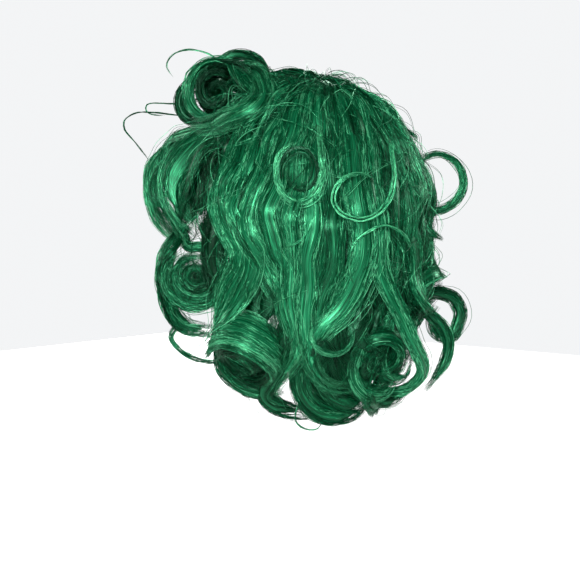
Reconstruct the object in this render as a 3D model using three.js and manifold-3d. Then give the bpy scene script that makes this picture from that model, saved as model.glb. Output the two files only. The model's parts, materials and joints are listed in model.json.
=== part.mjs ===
// A short costume wig: a sewn stretch cap with ear tabs and nape adjusters, and the hair that hangs from it.
// Millimetres. +Z is up to the crown, -Y is the face side, +X is the wearer's left.
// The origin is the centre of the cap's head opening.
import * as THREE from 'three';
import { mergeVertices } from 'three/addons/utils/BufferGeometryUtils.js';
import Module from 'manifold-3d';

const wasm = await Module();
wasm.setup();

// ---- Driving dimensions ----
const HEAD_HALF_WIDTH = 76;
const HEAD_HALF_DEPTH = 97;
const HEAD_CROWN_HEIGHT = 118;
const NECK_NARROWING = 0.16; // share that the head narrows by, 90 degrees below the origin's level

const BAND_WIDTH = 10;
const SEAM_GAP = 0.5;
const TAPE_OUT = [0.3, 1.3]; // the layers, as distances out from the head
const BAND_OUT = [1.8, 3.4];
const NET_OUT = [2.0, 2.9];
const WEFT_OUT = [3.5, 5.0];
const HAIR_OUT = 5.6;
const WEFT_HEIGHT = 3;

const CROWN_PATCH_FALL = 30; // degrees from the crown
const NAPE_SEAM_FALL = 100;
const EAR_TAB_FALL = 100;
const EAR_TAB_TURNS = [-31, -11];
const BACK = 90; // degrees of turn from the wearer's left ear to the back of the head

// Fall of the cap's edge against the turn away from the back of the head.
const RIM = [
  [0, 119], [30, 117], [50, 107], [70, 95], [85, 89], [100, 87], [120, 85], [140, 79], [160, 74], [180, 72],
];

const HAIR_GREEN = 0x0a7346;
const CAP_GREEN = 0x0b4a30;
const TAPE_BLACK = 0x16211c;
const HOOK_BLACK = 0x101312;

// ---- Places on the head ----
const rad = THREE.MathUtils.degToRad;
const MM_PER_DEGREE = rad(HEAD_CROWN_HEIGHT);

// The point `out` mm off the head, `turn` degrees round from the wearer's left ear (90 is the back) and
// `fall` degrees down from the crown. Past 90 the surface hangs down and narrows a little to the neck.
function around(turn, fall, out) {
  const below = Math.max(fall - 90, 0);
  const spread = Math.sin(rad(Math.min(fall, 90))) * (1 - NECK_NARROWING * (below / 90) ** 1.5);
  const height = (HEAD_CROWN_HEIGHT + out) * Math.cos(rad(Math.min(fall, 90))) - below * MM_PER_DEGREE;
  return new THREE.Vector3(
    (HEAD_HALF_WIDTH * spread + out * Math.sin(rad(Math.min(fall, 90)))) * Math.cos(rad(turn)),
    (HEAD_HALF_DEPTH * spread + out * Math.sin(rad(Math.min(fall, 90)))) * Math.sin(rad(turn)),
    height,
  );
}

function rimFall(turn) {
  const away = Math.abs(THREE.MathUtils.euclideanModulo(turn - BACK + 180, 360) - 180);
  const next = Math.max(RIM.findIndex(([angle]) => angle >= away), 1);
  const [fromAngle, fromFall] = RIM[next - 1];
  const [toAngle, toFall] = RIM[next];
  const share = THREE.MathUtils.smoothstep(away, fromAngle, toAngle);
  return THREE.MathUtils.lerp(fromFall, toFall, share);
}

const bandTop = (turn) => rimFall(turn) - BAND_WIDTH / MM_PER_DEGREE;
const panelEdge = (turn) => bandTop(turn) - SEAM_GAP / MM_PER_DEGREE;
const valueAt = (limit, turn) => (typeof limit === 'function' ? limit(turn) : limit);

// ---- Solids ----
function moved(geometry, place) {
  const position = geometry.attributes.position;
  const point = new THREE.Vector3();
  for (let i = 0; i < position.count; i += 1) {
    point.copy(place(point.fromBufferAttribute(position, i)));
    position.setXYZ(i, point.x, point.y, point.z);
  }
  geometry.deleteAttribute('normal');
  geometry.deleteAttribute('uv');
  return mergeVertices(geometry, 1e-4);
}

// A curved plate over a range of turns, falls and distances out. With rounding its edges are thinner than
// its middle.
function plate({ turns, falls, outs, across = 10, down = 6, rounding = 0 }) {
  const slab = new THREE.BoxGeometry(1, 1, 1, across, down, 1);
  return moved(slab, ({ x, y, z }) => {
    const turn = THREE.MathUtils.lerp(turns[0], turns[1], x + 0.5);
    const fall = THREE.MathUtils.lerp(valueAt(falls[0], turn), valueAt(falls[1], turn), 0.5 - y);
    const edge = 1 - rounding * Math.max((2 * x) ** 6, (2 * y) ** 6);
    const out = z > 0 ? THREE.MathUtils.lerp(outs[0], outs[1], edge) : outs[0];
    return around(turn, fall, out);
  });
}

// A round plate over the crown.
function crownDisc({ fall, outs, rings = 3, sectors = 24 }) {
  const steps = [...Array(rings + 1).keys()];
  const profile = [
    ...steps.map((step) => new THREE.Vector2((fall * step) / rings, outs[0])),
    ...steps.reverse().map((step) => new THREE.Vector2((fall * step) / rings, outs[1])),
  ];
  const disc = new THREE.LatheGeometry(profile, sectors);
  return moved(disc, ({ x, y, z }) => {
    const turn = THREE.MathUtils.radToDeg(Math.atan2(-z, x));
    return around(turn, Math.hypot(x, z), y);
  });
}

// A flattened tube along a curve, with its flat side turned away from the head. It is thinner at its ends.
function lock({ points, width, thickness, steps = 16, taper = 0.5 }) {
  const curve = new THREE.CatmullRomCurve3(points.map(([x, y, z]) => new THREE.Vector3(x, y, z)));
  const tube = new THREE.CylinderGeometry(1, 1, 1, 8, steps);
  return moved(tube, ({ x, y, z }) => {
    const along = y + 0.5;
    const centre = curve.getPoint(along);
    const tangent = curve.getTangent(along);
    const outward = new THREE.Vector3(centre.x, centre.y, 0).normalize();
    const normal = outward.addScaledVector(tangent, -outward.dot(tangent)).normalize();
    const side = new THREE.Vector3().crossVectors(tangent, normal);
    const size = 1 - taper * Math.abs(2 * along - 1) ** 3;
    centre.addScaledVector(side, (x * size * width) / 2);
    return centre.addScaledVector(normal, (z * size * thickness) / 2);
  });
}

// A hollow roll of hair: `radius` is outside, `length` is along `axis`.
function curl({ at, axis, radius, wall, length, sectors = 20 }) {
  const half = length / 2;
  const bevel = Math.min(wall, length) * 0.3;
  const profile = [
    [radius - wall, -half + bevel],
    [radius - wall + bevel, -half],
    [radius - bevel, -half],
    [radius, -half + bevel],
    [radius, half - bevel],
    [radius - bevel, half],
    [radius - wall + bevel, half],
    [radius - wall, half - bevel],
    [radius - wall, -half + bevel],
  ].map(([x, y]) => new THREE.Vector2(x, y));
  const direction = new THREE.Vector3(...axis).normalize();
  const turned = new THREE.Quaternion().setFromUnitVectors(new THREE.Vector3(0, 1, 0), direction);
  const centre = new THREE.Vector3(...at);
  const roll = new THREE.LatheGeometry(profile, sectors);
  return moved(roll, (point) => point.applyQuaternion(turned).add(centre));
}

function asSolid(geometry) {
  const bare = geometry.clone();
  bare.deleteAttribute('normal');
  bare.deleteAttribute('uv');
  const merged = mergeVertices(bare, 1e-4);
  const mesh = new wasm.Mesh({
    numProp: 3,
    vertProperties: merged.attributes.position.array,
    triVerts: new Uint32Array(merged.index.array),
  });
  return new wasm.Manifold(mesh);
}

function asGeometry(solid) {
  const mesh = solid.getMesh();
  const geometry = new THREE.BufferGeometry();
  geometry.setAttribute('position', new THREE.BufferAttribute(new Float32Array(mesh.vertProperties), 3));
  geometry.setIndex([...mesh.triVerts]);
  return geometry;
}

// ---- The assembly ----
const group = new THREE.Group();

const materials = {
  hair: { color: HAIR_GREEN, roughness: 0.35, metalness: 0 },
  net: { color: CAP_GREEN, roughness: 0.9, metalness: 0 },
  tape: { color: TAPE_BLACK, roughness: 0.85, metalness: 0 },
  hook: { color: HOOK_BLACK, roughness: 0.3, metalness: 0.2 },
};

function add(name, look, geometry) {
  const smooth = geometry.clone();
  smooth.computeVertexNormals();
  const mesh = new THREE.Mesh(smooth, new THREE.MeshStandardMaterial(materials[look]));
  mesh.name = name;
  group.add(mesh);
}

const mirroredTurns = (turns) => turns.map((turn) => 2 * BACK - turn).reverse();
const mirroredPoint = ([x, y, z]) => [-x, y, z];

// Adds the wearer's left piece and its mirror image.
function addPair(name, look, make) {
  add(`left_${name}`, look, make((turns) => turns, (point) => point));
  add(`right_${name}`, look, make(mirroredTurns, mirroredPoint));
}

// ---- Cap: patch, nets, bands and tapes ----
const FRONT_TURNS = [-138, -42];
const SIDE_TURNS = [-41.5, 38];
const BACK_TURNS = [38.5, 89.8];
const NAPE_TURNS = [38.5, 141.5];
const EDGE_FACETS = 14; // the same on panels and bands, so that their facets line up at the seam

function addPanels() {
  const top = CROWN_PATCH_FALL + SEAM_GAP;
  const backEdge = (turn) => Math.min(panelEdge(turn), NAPE_SEAM_FALL - 0.4);
  const net = (turns, edge) => plate({ turns, falls: [top, edge], outs: NET_OUT, across: EDGE_FACETS });
  add('crown_patch', 'net', crownDisc({ fall: CROWN_PATCH_FALL, outs: [1.6, 3.0] }));
  add('front_panel', 'net', net(FRONT_TURNS, panelEdge));
  addPair('side_net', 'net', (turned) => net(turned(SIDE_TURNS), panelEdge));
  addPair('back_net', 'net', (turned) => net(turned(BACK_TURNS), backEdge));
  add('nape_panel', 'net', plate({
    turns: NAPE_TURNS, falls: [NAPE_SEAM_FALL, panelEdge], outs: NET_OUT, across: EDGE_FACETS, down: 3,
  }));
}

function addBands() {
  const band = (turns) => plate({
    turns, falls: [bandTop, rimFall], outs: BAND_OUT, across: EDGE_FACETS, down: 2,
  });
  add('forehead_band', 'tape', band(FRONT_TURNS));
  addPair('ear_band', 'tape', (turned) => band(turned(SIDE_TURNS)));
  add('nape_band', 'tape', band(NAPE_TURNS));
}

const RIB_HALF_TURN = 3;

function addRibs() {
  const rib = ([turn]) => plate({
    turns: [turn - RIB_HALF_TURN, turn + RIB_HALF_TURN],
    falls: [CROWN_PATCH_FALL + 2, (at) => panelEdge(at) - 0.5],
    outs: TAPE_OUT,
    across: 2,
    down: 10,
  });
  addPair('front_rib', 'tape', (turned) => rib(turned([-41.8])));
  addPair('back_rib', 'tape', (turned) => rib(turned([38.2])));
  add('centre_rib', 'tape', rib([BACK]));
}

// The rows of stitched hair: first turn, last turn and fall.
const WEFT_ROWS = {
  weft_row_1: [-38, 218, 42],
  weft_row_2: [-38, 218, 57],
  weft_row_3: [-36, 216, 72],
  weft_row_4: [34, 146, 87],
  weft_row_5: [50, 130, 103],
  front_weft: [-136, -44, 50],
};

function addWefts() {
  const half = WEFT_HEIGHT / MM_PER_DEGREE / 2;
  for (const [name, [from, to, fall]] of Object.entries(WEFT_ROWS)) {
    const falls = [fall - half, fall + half];
    const across = Math.ceil((to - from) / 8);
    add(name, 'tape', plate({ turns: [from, to], falls, outs: WEFT_OUT, across, down: 1 }));
  }
}

// ---- Ear tabs, which fold inwards about their seam ----
function addEarTabs() {
  const seam = (turn) => rimFall(turn) + 0.8;
  addPair('ear_tab', 'tape', (turned) => plate({
    turns: turned(EAR_TAB_TURNS), falls: [seam, EAR_TAB_FALL], outs: BAND_OUT, across: 6, down: 6,
  }));
  addPair('tab_stay', 'hook', (turned) => plate({
    turns: turned([-23, -18]), falls: [(turn) => seam(turn) + 0.8, EAR_TAB_FALL - 1], outs: [0.6, 1.4],
    across: 2, down: 4,
  }));
}

// ---- Nape adjusters: an elastic strap, its hook, and the tape of loops that the hook reaches ----
const STRAP_FALL = 108;
const STRAP_TURNS = [36, 61];
const STRAP_HALF_HEIGHT = 4;
const STRAP_OUT = [-2.2, -1.3]; // the strap lies inside the cap, clear of the nape's tapes
const HOOK_TURN = 71; // where the hook's end points
const HOOK_BAR = 1.2;
const HOOK_LENGTH = 15;
const HOOK_HALF_HEIGHT = 6;
const LOOP_TAPE_TURNS = [77.5, 85.5];

const strapMiddle = (STRAP_OUT[0] + STRAP_OUT[1]) / 2;
const strapHalfFall = STRAP_HALF_HEIGHT / MM_PER_DEGREE;

// The hook bar's frame: local X runs along the nape to its middle, local Y points out, local Z is up.
function barFrame() {
  const bar = around(STRAP_TURNS[1] + 0.9, STRAP_FALL, strapMiddle);
  const along = around(HOOK_TURN, STRAP_FALL, strapMiddle).sub(bar).setZ(0).normalize();
  const up = new THREE.Vector3(0, 0, 1);
  const outward = new THREE.Vector3().crossVectors(up, along);
  return new THREE.Matrix4().makeBasis(along, outward, up).setPosition(bar);
}

// The strap: a flat elastic with a sewn eye at its free end, which runs round the hook's bar.
function strapGeometry() {
  const [eyeOuter, eyeInner] = [2.0, 1.2];
  const ring = new THREE.Shape().absarc(0, 0, eyeOuter, 0, Math.PI * 2);
  ring.holes.push(new THREE.Path().absarc(0, 0, eyeInner, 0, Math.PI * 2, true));
  const eye = new THREE.ExtrudeGeometry(ring, {
    depth: 2 * STRAP_HALF_HEIGHT, bevelEnabled: false, curveSegments: 8,
  });
  eye.translate(0, 0, -STRAP_HALF_HEIGHT).applyMatrix4(barFrame());
  const falls = [STRAP_FALL - strapHalfFall, STRAP_FALL + strapHalfFall];
  const elastic = plate({ turns: STRAP_TURNS, falls, outs: STRAP_OUT, across: 10, down: 1 });
  return asGeometry(asSolid(elastic).add(asSolid(eye)));
}

// The hook: a flat frame whose slot takes the strap, and a prong that turns back below it.
function hookGeometry() {
  const bar = HOOK_BAR / 2;
  const frameEnd = 6;
  const bend = HOOK_LENGTH - 3;
  const low = -HOOK_HALF_HEIGHT;
  const outline = new THREE.Shape();
  outline.moveTo(-bar, low);
  outline.lineTo(bend, low);
  outline.absarc(bend, low + 3, 3, -Math.PI / 2, Math.PI / 2);
  outline.lineTo(frameEnd + 2.5, low + 6);
  outline.lineTo(frameEnd + 2.5, low + 4.4);
  outline.lineTo(bend, low + 4.4);
  outline.absarc(bend, low + 3, 1.4, Math.PI / 2, -Math.PI / 2, true);
  outline.lineTo(frameEnd, low + 1.6);
  outline.lineTo(frameEnd, -low);
  outline.lineTo(-bar, -low);
  outline.closePath();
  const slot = new THREE.Path();
  slot.moveTo(bar, low + 1.4);
  slot.lineTo(bar, -low - 1.4);
  slot.lineTo(frameEnd - 1.4, -low - 1.4);
  slot.lineTo(frameEnd - 1.4, low + 1.4);
  slot.closePath();
  outline.holes.push(slot);
  const hook = new THREE.ExtrudeGeometry(outline, { depth: HOOK_BAR, bevelEnabled: false, curveSegments: 8 });
  return hook.translate(0, 0, -HOOK_BAR / 2).rotateX(Math.PI / 2).applyMatrix4(barFrame());
}

// A short tape with a row of raised loops that the hook's prong can catch.
function loopTapeGeometry() {
  const falls = [STRAP_FALL - 2.2, STRAP_FALL + 2.2];
  const tape = asSolid(plate({ turns: LOOP_TAPE_TURNS, falls, outs: TAPE_OUT, across: 4, down: 1 }));
  const [archOuter, archInner, archWidth] = [3.2, 2.0, 1.4];
  const arches = [0.16, 0.5, 0.84].map((share) => {
    const turn = THREE.MathUtils.lerp(...LOOP_TAPE_TURNS, share);
    const foot = around(turn, STRAP_FALL, TAPE_OUT[0] + 0.4);
    const inward = new THREE.Vector3(-foot.x, -foot.y, 0).normalize();
    const up = new THREE.Vector3(0, 0, 1);
    const along = new THREE.Vector3().crossVectors(up, inward);
    const arch = new THREE.Shape().absarc(0, 0, archOuter, 0, Math.PI);
    arch.absarc(0, 0, archInner, Math.PI, 0, true);
    const solid = new THREE.ExtrudeGeometry(arch, {
      depth: archWidth, bevelEnabled: false, curveSegments: 8,
    });
    const place = new THREE.Matrix4().makeBasis(up, inward, along).setPosition(foot);
    return asSolid(solid.translate(0, 0, -archWidth / 2).applyMatrix4(place));
  });
  return asGeometry(arches.reduce((solid, arch) => solid.add(arch), tape));
}

const mirror = new THREE.Matrix4().makeScale(-1, 1, 1);

function mirrored(geometry) {
  const copy = geometry.clone().applyMatrix4(mirror);
  const order = [...copy.index.array];
  for (let i = 0; i < order.length; i += 3) {
    [order[i], order[i + 1]] = [order[i + 1], order[i]];
  }
  copy.setIndex(order);
  return copy;
}

function addAdjusters() {
  const pieces = [
    ['adjuster_strap', 'tape', strapGeometry()],
    ['adjuster_hook', 'hook', asGeometry(asSolid(hookGeometry()))],
    ['loop_tape', 'tape', loopTapeGeometry()],
  ];
  for (const [name, look, geometry] of pieces) {
    add(`left_${name}`, look, geometry);
    add(`right_${name}`, look, mirrored(geometry));
  }
}

// ---- Hair over the crown ----
const SIDE_SECTOR = [-19, 40];

function addCrownHair() {
  const sector = (turns, outer) => plate({
    turns,
    falls: [18.5, 60],
    outs: [HAIR_OUT, outer],
    across: Math.ceil((turns[1] - turns[0]) / 9),
    down: 5,
    rounding: 0.3,
  });
  add('crown_whorl_hair', 'hair', crownDisc({ fall: 18, outs: [HAIR_OUT, 14] }));
  add('crown_front_hair', 'hair', sector([-160, -20], 9));
  addPair('crown_hair', 'hair', (turned) => sector(turned(SIDE_SECTOR), 20));
  add('crown_back_hair', 'hair', sector([41, 139], 24));
}

// ---- Hair that hangs below the crown: first and last turn, lowest fall, outer layer ----
const HANGING_HAIR = {
  side_hair: [[-28, -2], 101, 24],
  behind_ear_hair: [[-1, 21], 127, 26],
  back_hair: [[22, 63], 131, 30],
};

function addHangingHair() {
  const hanging = (turns, bottom, outer) => plate({
    turns, falls: [61, bottom], outs: [HAIR_OUT, outer], across: 6, down: 8, rounding: 0.35,
  });
  for (const [name, [turns, bottom, outer]] of Object.entries(HANGING_HAIR)) {
    addPair(name, 'hair', (turned) => hanging(turned(turns), bottom, outer));
  }
  add('centre_back_hair', 'hair', hanging([64, 116], 146, 32));
}

// ---- Front: the roll on top, the loop above it, and the curtains that stand clear of the temples ----
function addFrontHair() {
  add('front_roll', 'hair', curl({
    at: [57, -58, 119], axis: [0.9, 0.42, 0.1], radius: 24, wall: 12, length: 46,
  }));
  add('front_roll_loop', 'hair', lock({
    points: [[16, -36, 134], [23, -29, 149], [36, -22, 154], [50, -12, 142], [58, -3, 125]],
    width: 16,
    thickness: 5,
  }));
  addPair('curtain_hair', 'hair', (turned) => plate({
    turns: turned([-66, -32]), falls: [61, 104], outs: [32, 46], across: 6, down: 8, rounding: 0.5,
  }));
}

// ---- Curls at the ends of the hair ----
const PAIRED_CURLS = {
  cheek_curl: { at: [95, -40, -58], axis: [0.8, 0.5, 0], radius: 30, wall: 14, length: 24 },
  barrel_curl: { at: [90, 18, -124], axis: [0.8, 0.55, 0.1], radius: 35, wall: 18, length: 34 },
};

const SINGLE_CURLS = {
  left_nape_curl: { at: [59, 75, -160], axis: [0.6, 0.8, 0], radius: 27, wall: 12, length: 28 },
  centre_nape_curl: { at: [-2, 96, -172], axis: [0.1, 1, 0], radius: 29, wall: 12, length: 30 },
  right_nape_curl: { at: [-54, 86, -146], axis: [-0.5, 0.8, 0], radius: 27, wall: 12, length: 28 },
  right_end_curl: { at: [-102, 96, -98], axis: [0.7, 0.7, 0.1], radius: 24, wall: 8, length: 16 },
  right_back_loop: { at: [-100, 112, 27], axis: [0.77, 0.64, 0], radius: 22, wall: 5, length: 9 },
  back_pin_curl: { at: [90, 84, 44], axis: [0.77, 0.64, 0.15], radius: 22, wall: 15, length: 5 },
};

function addCurls() {
  for (const [name, { at, axis, ...size }] of Object.entries(PAIRED_CURLS)) {
    addPair(name, 'hair', (_, turned) => curl({ at: turned(at), axis: turned(axis), ...size }));
  }
  for (const [name, size] of Object.entries(SINGLE_CURLS)) {
    add(name, 'hair', curl(size));
  }
  add('crown_flick', 'hair', lock({
    points: [[-50, 66, 112], [-66, 84, 100], [-80, 98, 82], [-92, 108, 66]], width: 16, thickness: 6,
  }));
}

addPanels();
addBands();
addRibs();
addWefts();
addEarTabs();
addAdjusters();
addCrownHair();
addHangingHair();
addFrontHair();
addCurls();

export default group;
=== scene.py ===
"""A short green costume wig, dressed strand by strand over its packed cap."""
import json
import math

import bpy
import numpy as np
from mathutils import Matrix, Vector


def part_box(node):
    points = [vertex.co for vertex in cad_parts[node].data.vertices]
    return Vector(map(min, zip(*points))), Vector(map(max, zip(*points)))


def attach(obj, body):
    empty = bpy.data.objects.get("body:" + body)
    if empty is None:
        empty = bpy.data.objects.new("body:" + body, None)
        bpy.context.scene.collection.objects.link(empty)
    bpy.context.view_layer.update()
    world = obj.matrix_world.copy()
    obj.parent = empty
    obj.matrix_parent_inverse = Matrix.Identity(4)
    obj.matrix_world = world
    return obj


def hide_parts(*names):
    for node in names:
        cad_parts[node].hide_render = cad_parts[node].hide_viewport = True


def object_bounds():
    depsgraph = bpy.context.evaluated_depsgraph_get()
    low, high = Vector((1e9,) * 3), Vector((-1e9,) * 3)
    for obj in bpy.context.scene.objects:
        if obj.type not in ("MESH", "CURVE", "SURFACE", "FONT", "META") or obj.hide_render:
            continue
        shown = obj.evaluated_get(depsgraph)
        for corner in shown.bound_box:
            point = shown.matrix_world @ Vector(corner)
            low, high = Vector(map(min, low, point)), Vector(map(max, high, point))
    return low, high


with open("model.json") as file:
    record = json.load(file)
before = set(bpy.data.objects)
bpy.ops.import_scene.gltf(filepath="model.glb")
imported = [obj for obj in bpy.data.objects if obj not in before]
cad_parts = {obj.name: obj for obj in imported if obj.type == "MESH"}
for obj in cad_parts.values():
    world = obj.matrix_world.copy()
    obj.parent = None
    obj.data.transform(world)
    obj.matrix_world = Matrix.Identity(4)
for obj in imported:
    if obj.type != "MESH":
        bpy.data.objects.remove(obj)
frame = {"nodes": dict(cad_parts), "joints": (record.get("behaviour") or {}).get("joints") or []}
cad_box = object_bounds()

MM = 0.001

# ---- The head that the cap fits, in millimetres, taken from the cap's own pieces ----
BAND_OUT = 3.4
PATCH_OUT = 3.0
HEAD_HALF_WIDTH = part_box("left_ear_band")[1][0] / MM - BAND_OUT
CROWN_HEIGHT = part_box("crown_patch")[1][2] / MM - PATCH_OUT
FRONT_REACH = -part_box("forehead_band")[0][1] / MM
FRONT_RIM_FALL = 72
CAP_HALF_DEPTH = FRONT_REACH / math.sin(math.radians(FRONT_RIM_FALL)) - BAND_OUT
HAIR_DEPTH_MORE = 2.0
HEAD_HALF_DEPTH = FRONT_REACH - BAND_OUT + HAIR_DEPTH_MORE  # for the hair, about 3 less than for the cap
NECK_NARROWING = 0.16  # share that the head narrows by, 90 degrees below its widest level
MM_PER_DEGREE = math.radians(CROWN_HEIGHT)
WHORL = (75, 22)  # turn and fall of the point that the crown's hair grows from
DRESSED_SIDE = 40  # the turn that the curls face


# ---- Places ----
def unit(vectors):
    return vectors / np.maximum(np.linalg.norm(vectors, axis=-1, keepdims=True), 1e-9)


def square_to(normal, tangent):
    """The unit part of each normal that is square to its tangent."""
    return unit(normal - (normal * tangent).sum(1, keepdims=True) * tangent)


def step_lengths(points):
    """The length of each step along a line."""
    return np.linalg.norm(np.diff(points, axis=0), axis=1)


def lengths(points):
    """How far along its line each point is."""
    return np.concatenate([[0], np.cumsum(step_lengths(points))])


def at_lengths(wanted, gone, rows):
    """The three columns of the rows, read at other lengths along their line."""
    return np.stack([np.interp(wanted, gone, rows[:, k]) for k in range(3)], axis=-1)


def circle(sides):
    """Evenly spaced angles, one for each side."""
    return np.arange(sides) * 2 * math.pi / sides


def carry(*values):
    """Columns side by side, each stretched to the same length."""
    return np.stack(np.broadcast_arrays(*values), -1)


def sections(centre, side, normal, across, off):
    """One ring of points for each row of across and off."""
    return centre[:, None] + across[..., None] * side[:, None] + off[..., None] * normal[:, None]


def head(*places, depth=HEAD_HALF_DEPTH):
    """Points for rows of turn, fall and out: degrees round from the left ear (90 is the back), degrees
    down from the crown, and millimetres off the head. Past 90 degrees of fall the surface hangs down."""
    rows = np.array(places, float)
    turn, fall, out = np.radians(rows[:, 0]), rows[:, 1], rows[:, 2]
    dome = np.radians(np.minimum(fall, 90))
    below = np.maximum(fall - 90, 0)
    spread = np.sin(dome) * (1 - NECK_NARROWING * (below / 90) ** 1.5)
    off = out * np.sin(dome)
    x = (HEAD_HALF_WIDTH * spread + off) * np.cos(turn)
    y = (depth * spread + off) * np.sin(turn)
    z = (CROWN_HEIGHT + out) * np.cos(dome) - below * MM_PER_DEGREE
    return np.stack([x, y, z], axis=1)


def axes(facing):
    """Across, up and toward, for someone who looks at the head from the turn `facing`."""
    face = math.radians(facing)
    return np.array([[-math.sin(face), math.cos(face), 0], [0, 0, 1], [math.cos(face), math.sin(face), 0]])


def dressed(*places, facing=DRESSED_SIDE):
    """Points for rows of across, up and toward, in millimetres from the head's middle."""
    return np.array(places, float) @ axes(facing)


def lift(turn, fall):
    """How much further than elsewhere the hair stands off the head, in millimetres: it is fullest behind
    the right ear."""
    return 15 * math.exp(-(((turn - 128) / 34) ** 2)) * min(1, max(0, (fall - 34) / 40))


def face_on(*places, facing=DRESSED_SIDE):
    """Dressed points whose flat side faces the viewer."""
    points = dressed(*places, facing=facing)
    return points, np.repeat(axes(facing)[2:], len(points), axis=0)


def outward(points):
    """The direction off the head at each point."""
    scale = np.array([HEAD_HALF_WIDTH, HEAD_HALF_DEPTH, CROWN_HEIGHT]) ** 2
    lifted = points * [1, 1, 0] + np.maximum(points * [0, 0, 1], 0)
    return unit(lifted / scale)


def on_dome(turn, fall):
    turn, fall = math.radians(turn), math.radians(fall)
    return np.array([math.sin(fall) * math.cos(turn), math.sin(fall) * math.sin(turn), math.cos(fall)])


def from_whorl(turn, fall, out, low_out=10, steps=4, bend=0):
    """Points from the whorl over the dome, rising from low_out to out, up to but not at a place on it.
    They bow sideways by `bend` millimetres."""
    start, end = on_dome(*WHORL), on_dome(turn, fall)
    angle = math.acos(float(np.clip(start @ end, -1, 1)))
    places = []
    for step in range(steps):
        share = 0.05 + 0.95 * step / steps
        way = (math.sin((1 - share) * angle) * start + math.sin(share * angle) * end) / math.sin(angle)
        way = way + bend / 100 * math.sin(math.pi * share) * np.cross(start, end)
        way = way / np.linalg.norm(way)
        here_turn = math.degrees(math.atan2(way[1], way[0]))
        here_fall = math.degrees(math.acos(float(np.clip(way[2], -1, 1))))
        rise = math.sin(share * math.pi / 2)
        places.append((here_turn, here_fall, low_out + (out - low_out) * rise + lift(here_turn, here_fall)))
    return head(*places)


def ring(centre, radius, clock, axis=(0, 0, 1), drift=0, flat=False, stretch=1, facing=DRESSED_SIDE):
    """A coil about `axis`, which points to the viewer. `clock` is its first and last angle, clockwise
    from twelve, the radius runs from first to last, and `stretch` makes it taller. A flat coil lies like
    a pin curl, its width along the radius."""
    frame_of = axes(facing)
    axis = unit(np.array(axis, float)) @ frame_of
    top = unit(frame_of[1] - (frame_of[1] @ axis) * axis)
    side = np.cross(top, axis)
    first, last = clock
    count = max(3, math.ceil(abs(last - first) / 25))
    share = np.linspace(0, 1, count + 1)[:, None]
    angle = np.radians(first + (last - first) * share)
    reach = radius[0] + (radius[1] - radius[0]) * share
    radial = np.sin(angle) * side + stretch * np.cos(angle) * top
    points = dressed(centre, facing=facing) + reach * radial + axis * drift * share
    return points, np.repeat(axis[None], len(points), axis=0) if flat else radial


SHELL_RADIUS = 45  # millimetres from the pole, for the shell's streaks


def dome_shell(pole, reach, outs, ripple, tone, surface=head):
    """A closed shell of the head's shape round a pole, as a bundle for tube_mesh."""
    sides, share = 90, np.linspace(0.02, 1, 16)
    turn = circle(sides)
    east = unit(np.cross([0, 1e-6, 1], pole) if abs(pole[2]) < 0.999 else np.array([1.0, 0, 0]))
    north = np.cross(pole, east)
    round_pole = np.cos(turn)[:, None] * east + np.sin(turn)[:, None] * north
    rings, carried = [], []
    for part, out in [(share, outs[1]), (share[::-1], outs[0])]:
        angle = np.radians(reach * part)[:, None, None]
        way = np.cos(angle) * pole + np.sin(angle) * round_pole[None]
        fall = np.degrees(np.arccos(np.clip(way[..., 2], -1, 1)))
        turns = np.degrees(np.arctan2(way[..., 1], way[..., 0]))
        part = part[:, None]
        waves = ripple * (0.8 * np.sin(9 * turn + 5 * part) + 0.5 * np.sin(17 * turn - 4 * part))
        places = np.stack([turns, fall, out + waves * (out > outs[0])], -1)
        rings.append(surface(*places.reshape(-1, 3)).reshape(places.shape))
        carried.append(carry(tone, SHELL_RADIUS * np.cos(turn), SHELL_RADIUS * np.sin(turn),
                             reach * MM_PER_DEGREE * part))
    return np.concatenate(rings)[None], np.concatenate(carried)[None]


# ---- Guide lines ----
def spline(values, step):
    """A Catmull-Rom curve through rows whose first three numbers are a point, with a row about every
    step."""
    rows = np.vstack([2 * values[0] - values[1], values, 2 * values[-1] - values[-2]])
    parts = []
    for a, b, c, d in zip(rows, rows[1:], rows[2:], rows[3:]):
        count = max(1, math.ceil(np.linalg.norm(c[:3] - b[:3]) / step))
        t = (np.arange(count) / count)[:, None]
        bend, twist = 2 * a - 5 * b + 4 * c - d, 3 * b - a - 3 * c + d
        parts.append(0.5 * (2 * b + (c - a) * t + bend * t**2 + twist * t**3))
    return np.vstack(parts + [values[-1:]])


def guide(parts, step=4.0):
    """The centre line of a lock, with the normals of its flat side, and its side directions. Each part is
    an array of points, whose normals point off the head, or a ring's points and normals."""
    points, normals = np.zeros((0, 3)), np.zeros((0, 3))
    for part in parts:
        more, theirs = part if isinstance(part, tuple) else (part, outward(part))
        if len(normals) and normals[-1] @ theirs[0] < 0:
            theirs = -theirs
        points, normals = np.vstack([points, more]), np.vstack([normals, theirs])
    line = spline(np.hstack([points, normals]), step)
    centre, normal = line[:, :3], line[:, 3:]
    tangent = unit(np.gradient(centre, axis=0))
    normal = square_to(normal, tangent)
    return centre, normal, np.cross(tangent, normal)


def along(line, share):
    """The line's rows at shares from 0 to 1 of its length, and that length."""
    gone = lengths(line[0])
    return [at_lengths(share * gone[-1], gone, part) for part in line], gone[-1]


# ---- Strands ----
SIDES = 3  # a strand's section
MASS_SIDES = 18
MASS_SHARE = 0.8  # how much of a lock's section its smooth inside fills
STRAND_RADIUS = 0.25  # millimetres: a strand is a fine tuft of hairs
STRAND_SHARE = 0.7  # of the strands that each lock asks for, so that the whole wig stays light
STEP_SHARE = 1.12  # how much longer the steps along a lock are than it asks for, for the same reason
STRAY = 4.5  # the usual distance that a loose hair stands off its lock, in millimetres
FURTHEST_STRAY = 8
PIECE_TRIANGLES = 190_000
MASS_THICK = 4.5  # the thinnest lock, in millimetres, that has an inside of its own


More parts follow.
